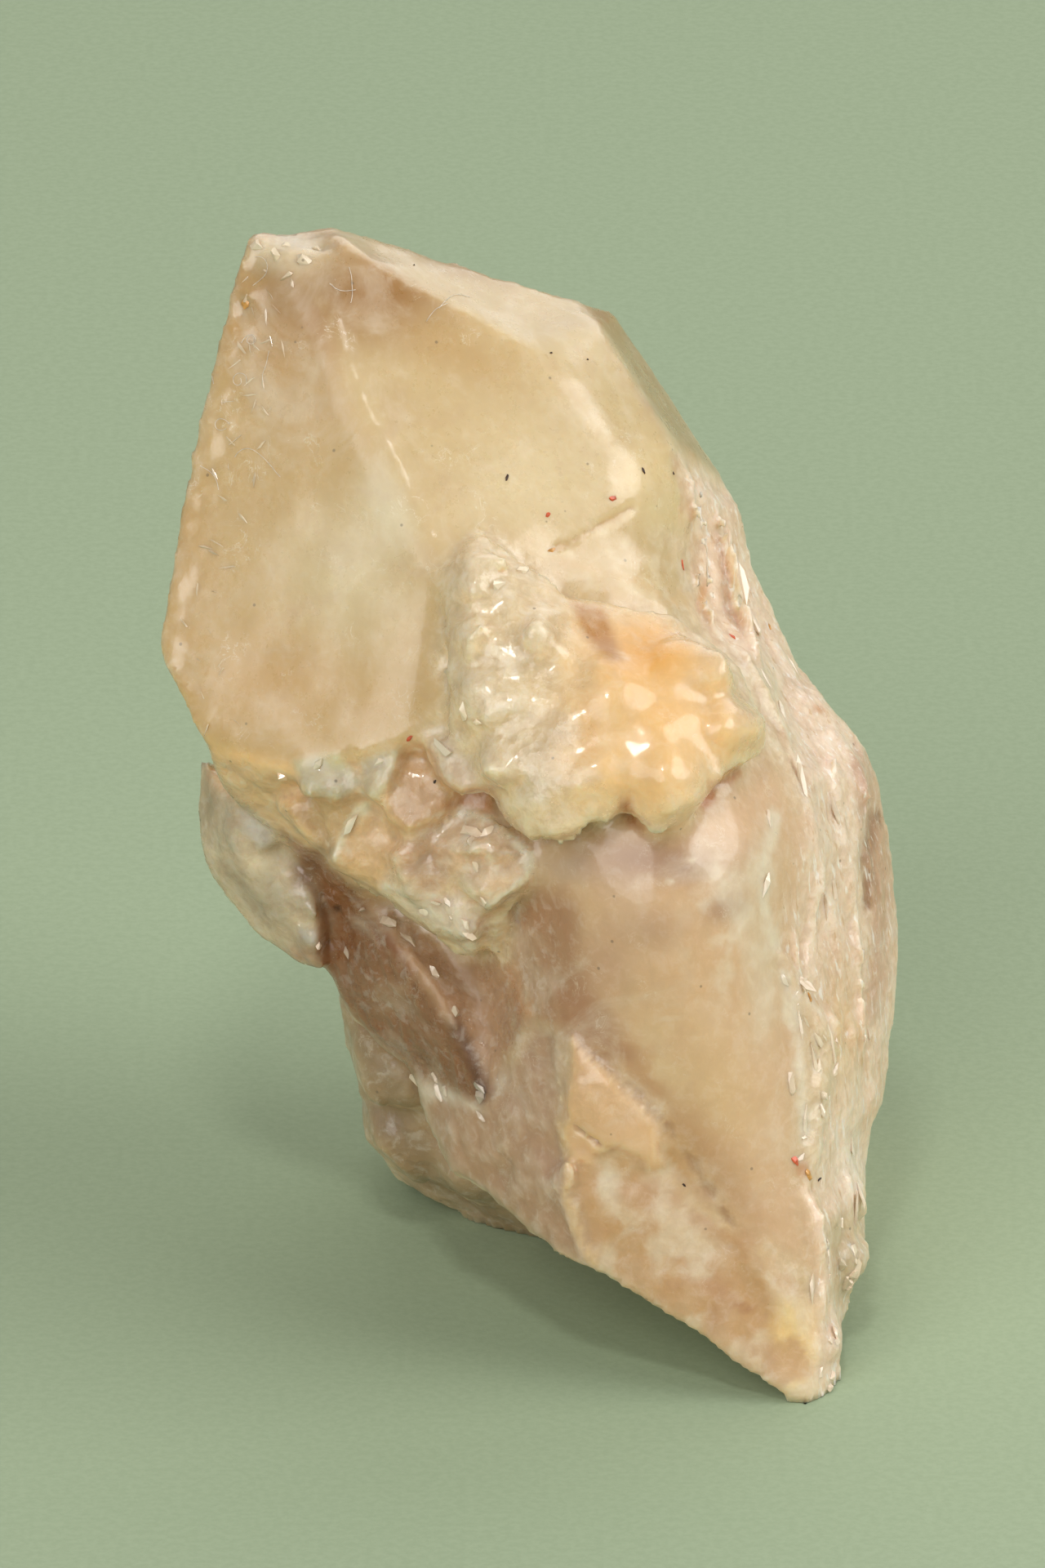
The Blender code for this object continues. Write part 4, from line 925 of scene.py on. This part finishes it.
# The druse.
paint(druse, (230, 212, 180))
paint(fresh * pit, (222, 196, 154), 0.35)
paint(orange, (240, 204, 150))
paint(spot(790, 800, 80, 60, 1.0) * druse, (232, 172, 76), 0.9)
paint(spot(810, 860, 60, 60, 1.0) * druse, (242, 196, 128), 0.6)
paint(region(DRUSE_WEDGE, 0.4) * druse, (190, 138, 78), 0.95)
paint(spot(720, 900, 26, 60, 1.0) * druse, (226, 180, 116), 0.6)
stroke((766, 985, 770, 1000, 784, 1010), 0.8, 0.3, (170, 104, 48), 0.8)
stroke((862, 985, 872, 965, 905, 945), 0.7, 0.3, (190, 116, 60), 0.8)
# Painted shadow: a darker line just under the crust's lower rim.
stroke((600, 965, 620, 1000, 650, 1034, 704, 1024), 0.5, 0.2, (176, 134, 98), 0.5)
paint(druse * rim * (1.0 - orange), WHITE, 0.35)
glints = ease(2.0 - cells(view, 1.1, 81.0)[0] * 8.0) * ease(layered(view, 3.0, 82.0, 2) * 2.0 + 0.4)
paint(glints * np.clip(fresh + chunk + shard + ledge, 0.0, 1.0), WHITE, 0.8)
fill(GLASSY_STRIP, 0.6, (216, 204, 164), 0.7)
fill(WHITE_FOOT, 0.6, (236, 222, 200), 0.8)
# Drawn lines.
stroke(RIDGE_LEFT, 0.26, 0.3, (206, 182, 140), 0.2)
stroke(RIDGE_TOP, 0.3, 0.35, WHITE, 0.16)
stroke(RIDGE_FAR, 0.5, 0.2, (232, 220, 196), 0.6)
# A painted highlight: the hollow's ridge a little lighter where it catches light.
stroke(HOLLOW_RIDGE, 0.22, 0.5, (216, 194, 176), 0.15)
stroke(FLANK_GROOVE, 0.5, 0.6, (196, 152, 104), 0.4)
dab(861, 728, 9, 32, (214, 158, 100), 0.8, -14)
dab(1006, 868, 14, 8, (206, 150, 92), 0.8, -30)
# The groove's brownish tone, deepened with painted shade.
stroke(SHADED_BROWN_GROOVE, 0.7, 0.3, (150, 108, 74), 0.8)
# Painted shade: a dark line along the crease beside the plate.
stroke(FRONT_LINE, 0.4, 0.4, (170, 126, 92), 0.5)
stroke(CREAM_RIDGE, 0.5, 0.2, (232, 200, 150), 0.6)
stroke((625, 1186, 634, 1214, 645, 1240), 0.7, 0.2, (214, 154, 110), 0.5)
dab(982, 1430, 14, 18, (190, 120, 50), 0.6, soft=0.8)
# The hidden side.
paint(hidden, (236, 212, 176))
paint(hidden * ease(drift * 1.4), (236, 222, 194), 0.8)
paint(hidden * ease(layered(view, 8.0, 70.0, 4) * 2.2), (214, 174, 124), 0.6)
paint(hidden * ease(layered(view, 3.4, 71.0, 4) * 2.6 - 0.3), (242, 232, 212), 0.6)
paint(rough_back * ease(fine * 1.2 + 0.2), (206, 164, 120), 0.5)
paint(rough_back * pit, (190, 134, 82), 0.5)
paint(hidden * rim, WHITE, 0.45)

clear = np.full(count, 0.04)
clear += 0.10 * smoky + 0.36 * shard + 0.14 * chunk + 0.08 * ledge
clear += 0.12 * region(FACE_FAR, 1.0) + 0.14 * spot(350, 330, 120, 90, 1.0)
clear += 0.22 * region(GLASS_LEFT, 0.3) + 0.22 * region(GLASS_RIGHT, 0.3)
clear += 0.12 * fresh + 0.12 * region(GLASSY_STRIP, 0.6)
clear = np.clip(clear * (1.0 + 0.5 * fine), 0.0, 0.5)

frost = np.full(count, 0.36)
frost += 0.1 * lilac + 0.1 * lobe + 0.06 * cream + 0.04 * rough_back - 0.06 * (crown + prism_back)
frost -= 0.12 * smoky + 0.2 * shard + 0.22 * chunk + 0.2 * fresh + 0.12 * left_edge
frost = np.clip(frost + 0.06 * fine, 0.1, 0.7)

grain = 1.0 - 0.9 * (crown + prism_back) - 0.5 * rough_back - 0.75 * swell - 0.8 * orange
grain = np.clip(grain - 0.4 * plate - 0.55 * cream - 0.4 * lilac, 0.06, 1.0)

# The colours above are as the picture shows them: the tip faces the light, the druse and hollow don't.
tint = tint * np.array(AS_LIT)
# Painted light and shade: shine lightens the glassy druse, chunk, ledge and side crystal, and under
# lightens faces turned away from above, most on the druse and chunk; the back lobe is darkened as painted
# shade; the hollow is darkened, partly its smoky colour and partly painted shade; the side crystal is
# lightened again as painted light. The tip is only made warmer and the flank shifted in hue.
shine = np.clip(chunk + shard + ledge + fresh, 0.0, 1.0)
under = np.clip(0.3 - stone.normal[:, 2], 0.0, 1.0) * (0.5 + 0.5 * druse + 0.5 * chunk)
for amount, factors in (
    (crown, (0.05, 0.03, -0.07)), (shine, (0.12, 0.12, 0.12)), (under, (0.54, 0.36, 0.20)),
    (smoky, (-0.10, -0.16, -0.22)), (flank, (0.02, -0.05, -0.01)), (lobe, (-0.10, -0.10, -0.12)),
    (shard, (0.08, 0.04, 0.10)),
):
    tint *= 1.0 + amount[:, None] * np.array(factors)
tint = tint / np.maximum(tint.max(axis=1, keepdims=True) / TINT_PEAK, 1.0)
# The ridges are a little worn, so they don't flash.
dull = np.clip(line(RIDGE_LEFT, 1.5) + line(HOLLOW_RIDGE, 1.0) + line(HOLLOW_EDGE, 1.0), 0.0, 1.0)
frost = np.clip(frost + 0.3 * dull, 0.1, 0.8)
write_layers(stone.mesh, tint, {
    "clear": clear, "frost": frost, "grain": grain, "crown": crown, "flank": flank, "worn": 0.4 * dull,
})
stone.mesh.shade_smooth()


class Graph:
    """Short hand for a material's nodes."""

    def __init__(self, name):
        self.material = bpy.data.materials.new(name)
        self.material.use_nodes = True
        self.tree = self.material.node_tree
        self.shader = self.tree.nodes["Principled BSDF"]

    def link(self, value, socket):
        if isinstance(value, bpy.types.NodeSocket):
            self.tree.links.new(value, socket)
        else:
            socket.default_value = value

    def finish(self, **values):
        """The shader's inputs, by their names with underscores for spaces."""
        for name, value in values.items():
            self.link(value, self.shader.inputs[name.replace("_", " ")])
        return self.material

    def node(self, kind, inputs, **settings):
        made = self.tree.nodes.new(kind)
        for key, value in settings.items():
            setattr(made, key, value)
        for key, value in inputs.items():
            self.link(value, made.inputs[key])
        return made

    def attribute(self, name, output="Fac"):
        return self.node("ShaderNodeAttribute", {}, attribute_name=name).outputs[output]

    def math(self, operation, a, b=0.0):
        return self.node("ShaderNodeMath", {0: a, 1: b}, operation=operation).outputs[0]

    def times(self, a, b):
        return self.math("MULTIPLY", a, b)

    def ramp(self, value, low, high, to_low=0.0, to_high=1.0):
        inputs = {"Value": value, "From Min": low, "From Max": high, "To Min": to_low, "To Max": to_high}
        return self.node("ShaderNodeMapRange", inputs, interpolation_type="SMOOTHSTEP").outputs["Result"]

    def mix(self, share, a, b):
        """A share of colour b over colour a."""
        return self.node("ShaderNodeMix", {0: share, 6: a, 7: b}, data_type="RGBA").outputs[2]

    def place(self, scale=(1.0, 1.0, 1.0), turn=(0.0, 0.0, 0.0)):
        """Object coordinates in millimetres, scaled and turned."""
        where = self.node("ShaderNodeTexCoord", {}).outputs["Object"]
        inputs = {"Vector": where, "Scale": [s / MM for s in scale], "Rotation": turn}
        return self.node("ShaderNodeMapping", inputs).outputs["Vector"]

    def noise(self, where, scale, detail=3.0, rough=0.55, warp=0.0):
        inputs = {"Vector": where, "Scale": scale, "Detail": detail, "Roughness": rough}
        return self.node("ShaderNodeTexNoise", {**inputs, "Distortion": warp}).outputs["Fac"]

    def voronoi(self, where, scale):
        return self.node("ShaderNodeTexVoronoi", {"Vector": where, "Scale": scale}).outputs["Distance"]

    def bump(self, height, strength, distance, normal=None):
        inputs = {"Height": height, "Strength": strength, "Distance": distance * MM}
        if normal is not None:
            inputs["Normal"] = normal
        return self.node("ShaderNodeBump", inputs).outputs["Normal"]


def citrine_material(name, glow):
    """The stone's own look; glow is how far light spreads inside it."""
    g = Graph(name)
    here = g.place()
    flank_share = g.attribute("flank")
    grain_share = g.attribute("grain")
    colour = g.attribute("tint", "Color")

    # White veils inside, and darker smoke between them.
    veil = g.ramp(g.noise(here, 0.16, 6.0, 0.62, 1.4), 0.48, 0.72)
    colour = g.mix(g.times(veil, 0.34), colour, (0.80, 0.70, 0.54, 1.0))
    smoke = g.ramp(g.noise(here, 0.26, 5.0, 0.6, 0.8), 0.5, 0.75)
    colour = g.mix(g.times(smoke, 0.3), colour, (0.55, 0.38, 0.22, 1.0))
    mottle = g.ramp(g.noise(here, 1.1, 5.0, 0.65, 0.5), 0.35, 0.7, -0.5, 0.5)
    mottle = g.times(mottle, g.math("ADD", g.times(grain_share, 0.30), 0.10))
    colour = g.mix(g.math("MAXIMUM", mottle, 0.0), colour, (0.92, 0.88, 0.80, 1.0))
    darker = g.math("MAXIMUM", g.times(mottle, -1.0), 0.0)
    colour = g.mix(darker, colour, (0.40, 0.25, 0.14, 1.0))

    # Fine white growth threads on the tip.
    thread = g.math("ABSOLUTE", g.math("SUBTRACT", g.noise(here, 0.55, 5.0, 0.6, 1.2), 0.5))
    thread = g.ramp(thread, 0.0, 0.012, 1.0, 0.0)
    gate = g.ramp(g.noise(here, 0.4, 2.0), 0.55, 0.65)
    gate = g.times(gate, g.math("ADD", g.times(g.attribute("crown"), 0.3), 0.3))
    thread = g.times(thread, gate)
    colour = g.mix(thread, colour, (0.84, 0.76, 0.60, 1.0))

    # Rusty stains run along the fibres of the flank.
    streaks = g.place((1.0, 1.0, 0.22), (0.0, 0.24, 0.0))
    stain = g.ramp(g.noise(streaks, 1.6, 5.0, 0.6, 0.3), 0.58, 0.7)
    stain = g.times(stain, g.times(flank_share, 0.6))
    colour = g.mix(stain, colour, (0.56, 0.33, 0.13, 1.0))
    bleach = g.ramp(g.noise(streaks, 2.4, 5.0, 0.6, 0.3), 0.55, 0.68)
    bleach = g.times(bleach, g.times(flank_share, 0.7))
    colour = g.mix(bleach, colour, (0.90, 0.86, 0.78, 1.0))

    # Dust specks.
    speck = g.ramp(g.voronoi(here, 0.42), 0.03, 0.055, 1.0, 0.0)
    colour = g.mix(g.times(speck, 0.55), colour, (0.16, 0.11, 0.07, 1.0))

    gloss = g.math("SUBTRACT", g.noise(here, 1.4, 4.0, 0.6), 0.5)
    rough = g.math("ADD", g.attribute("frost"), g.times(gloss, 0.3))

    normal = g.bump(g.noise(here, 0.5, 3.0, 0.5), 0.2, 0.25)
    strong = g.times(grain_share, 0.5)
    normal = g.bump(g.noise(here, 2.6, 5.0, 0.65), strong, 0.10, normal)
    normal = g.bump(g.voronoi(here, 1.6), g.times(grain_share, 0.3), 0.2, normal)
    return g.finish(
        Base_Color=colour, Roughness=g.math("MAXIMUM", rough, 0.06), Normal=normal, IOR=QUARTZ_IOR,
        Transmission_Weight=g.attribute("clear"), Subsurface_Weight=glow,
        Subsurface_Radius=(1.0, 0.75, 0.5), Subsurface_Scale=LIGHT_SPREAD * MM,
        Coat_Weight=g.math("SUBTRACT", COAT, g.attribute("worn")), Coat_Roughness=0.09, Coat_IOR=1.5,
    )


def place_crisp(shape):
    """The crisp chips as a piece of their own, coloured like the stone under them, a little clearer."""
    centre = np.zeros(len(shape.vertices) * 3)
    shape.vertices.foreach_get("co", centre)
    centre = centre.reshape(-1, 3)
    tree = KDTree(len(stone.co))
    for index, place in enumerate(stone.co):
        tree.insert(place, index)
    tree.balance()
    nearest = np.array([tree.find(place)[1] for place in centre])
    flicker = 1.0 + 0.25 * perlin(view_frame(centre), 0.9, 61.0)[:, None]
    glassy = (tint[nearest] * 0.6 + 0.4 * linear(240, 232, 214)) * flicker
    levels = {"clear": 0.06, "frost": 0.12, "grain": 0.3, "crown": 0.0, "flank": 0.0}
    write_layers(shape, glassy, {name: np.full(len(centre), level) for name, level in levels.items()})
    return place_object("crisp_chips", shape)


crisp_chips = place_crisp(crisp_shape)
for piece, look, glow in ((stone.obj, "citrine", 0.7), (crisp_chips, "clear_citrine", 0.0)):
    piece.data.materials.clear()
    piece.data.materials.append(citrine_material(look, glow))


def plain_material(name, colour, rough, shine=0.0):
    """A grain of another mineral or a fibre: one colour with a little unevenness."""
    g = Graph(name)
    here = g.place()
    uneven = g.noise(here, 3.0, 4.0)
    shade = g.mix(g.ramp(uneven, 0.35, 0.7), (*colour, 1.0), (*(colour * 0.6), 1.0))
    return g.finish(Base_Color=shade, Roughness=rough, Coat_Weight=shine)


quads = [tuple(face.vertices) for face in stone.mesh.polygons]
surface = BVHTree.FromPolygons([Vector(c) for c in stone.co], quads)


def grains(name, rows, material):
    """Foreign grains pressed into the stone: picture place, half its length and width, and turn."""
    made = bmesh.new()
    random = np.random.RandomState(len(name))
    for column, row, long_half, wide_half, turn in rows:
        hit, normal = picture_ray(surface, column, row)
        along, across = lying(normal, turn)
        corners = []
        for _ in range(12):
            ball = Vector(random.normal(size=3)).normalized()
            corner = hit + along * (ball.x * long_half * MM) + across * (ball.y * wide_half * MM)
            corners.append(made.verts.new(corner + normal * (ball.z * 0.1 * MM)))
        bmesh.ops.convex_hull(made, input=corners, use_existing_faces=False)
    shape = bpy.data.meshes.new(name)
    made.to_mesh(shape)
    made.free()
    shape.materials.append(material)
    return place_object(name, shape)


def lint(rows, material):
    """Curly fibres lying on the tip, each from a picture point in a first direction."""
    curve = bpy.data.curves.new("lint", "CURVE")
    curve.dimensions = "3D"
    curve.bevel_depth = 0.018 * MM
    curve.bevel_resolution = 1
    random = np.random.RandomState(21)
    for column, row, heading, steps in rows:
        angle = math.radians(heading)
        bend_rate = random.uniform(-0.5, 0.5)
        places = []
        for _ in range(steps):
            hit, normal = picture_ray(surface, column, row)
            if hit is None:
                break
            places.append(hit + normal * (0.03 * MM))
            bend_rate += random.uniform(-0.45, 0.45)
            angle += 0.5 * bend_rate
            column += 5.0 * math.cos(angle)
            row -= 5.0 * math.sin(angle)
        spline = curve.splines.new("NURBS")
        spline.points.add(len(places) - 1)
        for point, place in zip(spline.points, places):
            point.co = (*place, 1.0)
        spline.use_endpoint_u = True
        spline.order_u = 4
    curve.materials.append(material)
    return place_object("lint", curve)


orange_grains = grains("orange_grains", (
    (672, 632, 0.26, 0.2, 60), (750, 611, 0.42, 0.18, 5), (837, 692, 0.5, 0.13, -65),
    (898, 779, 0.3, 0.16, -40), (502, 903, 0.34, 0.2, 60), (974, 1421, 0.42, 0.24, -40),
), plain_material("iron_red", linear(214, 92, 50), 0.4, 0.4))
gold_grains = grains("gold_grains", (
    (676, 674, 0.36, 0.24, 20), (990, 1440, 0.5, 0.3, -60), (992, 1222, 0.4, 0.2, -80),
    (945, 766, 0.24, 0.12, -60), (300, 372, 0.42, 0.34, 40),
), plain_material("iron_gold", linear(222, 162, 84), 0.3, 0.5))
dark_grains = grains("dark_grains", (
    (788, 577, 0.26, 0.12, -60), (720, 440, 0.1, 0.08, 0), (675, 432, 0.12, 0.07, 30),
    (621, 586, 0.26, 0.1, 70), (825, 579, 0.14, 0.1, -40), (838, 1450, 0.2, 0.1, -30),
    (1004, 1444, 0.26, 0.13, 10), (507, 324, 0.08, 0.06, 0), (533, 957, 0.16, 0.1, 60),
), plain_material("dark_mineral", linear(62, 44, 36), 0.5))
fibres_of_lint = lint((
    (296, 420, 80, 14), (302, 470, 60, 12), (288, 560, 70, 16), (282, 520, 120, 10),
    (310, 350, 40, 12), (538, 378, 60, 10), (262, 470, 100, 8), (548, 372, 200, 8),
    (430, 372, 60, 10), (330, 430, 250, 9), (268, 600, 80, 9), (404, 348, -40, 8),
), plain_material("lint", linear(236, 228, 214), 0.6))

for piece in (stone.obj, crisp_chips, orange_grains, gold_grains, dark_grains, fibres_of_lint):
    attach(piece, "root")
    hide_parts("citrine")


def floor_material():
    g = Graph("paper")
    here = g.place()
    fibre = g.noise(here, 1.8, 3.0, 0.6)
    tone = g.ramp(fibre, 0.3, 0.7)
    colour = g.mix(tone, (*linear(152, 169, 140), 1.0), (*linear(158, 175, 146), 1.0))
    normal = g.bump(fibre, 0.25, 0.08)
    return g.finish(Base_Color=colour, Roughness=0.9, Specular_IOR_Level=0.25, Normal=normal)


def make_floor():
    half = 3.0
    mesh = bpy.data.meshes.new("floor")
    corners = [(-half, -half, 0.0), (half, -half, 0.0), (half, half, 0.0), (-half, half, 0.0)]
    mesh.from_pydata(corners, [], [(0, 1, 2, 3)])
    obj = place_object("floor", mesh)
    obj.location.z = -0.00005
    mesh.materials.append(floor_material())


make_floor()


def aim(obj, target):
    direction = Vector(target) - obj.location
    obj.rotation_euler = direction.to_track_quat("-Z", "Y").to_euler()


def area_light(name, place, size, power, colour):
    data = bpy.data.lights.new(name, "AREA")
    data.shape = "DISK"
    data.size = size
    data.energy = power
    data.color = colour
    obj = place_object(name, data)
    obj.location = place
    aim(obj, MIDDLE)


MIDDLE = (0.0, 0.0, 0.03)
area_light("key", (0.78, -0.14, 0.52), 0.8, 6.4, (1.0, 0.975, 0.94))
area_light("back", (0.2, 0.65, 0.6), 1.0, 3.0, (1.0, 0.975, 0.95))
area_light("fill", (-0.4, -0.8, 0.5), 0.9, 6.0, (1.0, 0.975, 0.95))
area_light("glint", (-0.05, -0.5, 0.8), 0.12, 1.5, (1.0, 0.98, 0.95))

world = bpy.data.worlds.new("studio")
world.use_nodes = True
backdrop = world.node_tree.nodes["Background"]
backdrop.inputs["Color"].default_value = (1.0, 0.97, 0.93, 1.0)
backdrop.inputs["Strength"].default_value = 0.23
bpy.context.scene.world = world
bpy.context.scene.view_settings.view_transform = "Standard"

CAMERA_AWAY = 1200.0
FRAME_HEIGHT = 96.0
FRAME_MIDDLE = 38.0
SENSOR = 36.0
camera_data = bpy.data.cameras.new("camera")
camera_data.sensor_fit = "VERTICAL"
camera_data.sensor_height = SENSOR
camera_data.lens = SENSOR * CAMERA_AWAY / FRAME_HEIGHT
camera_data.clip_start = 0.05
camera = place_object("camera", camera_data)
camera.location = world_point(0.0, FRAME_MIDDLE, CAMERA_AWAY)
aim(camera, world_point(0.0, FRAME_MIDDLE, 0.0))
bpy.context.scene.camera = camera
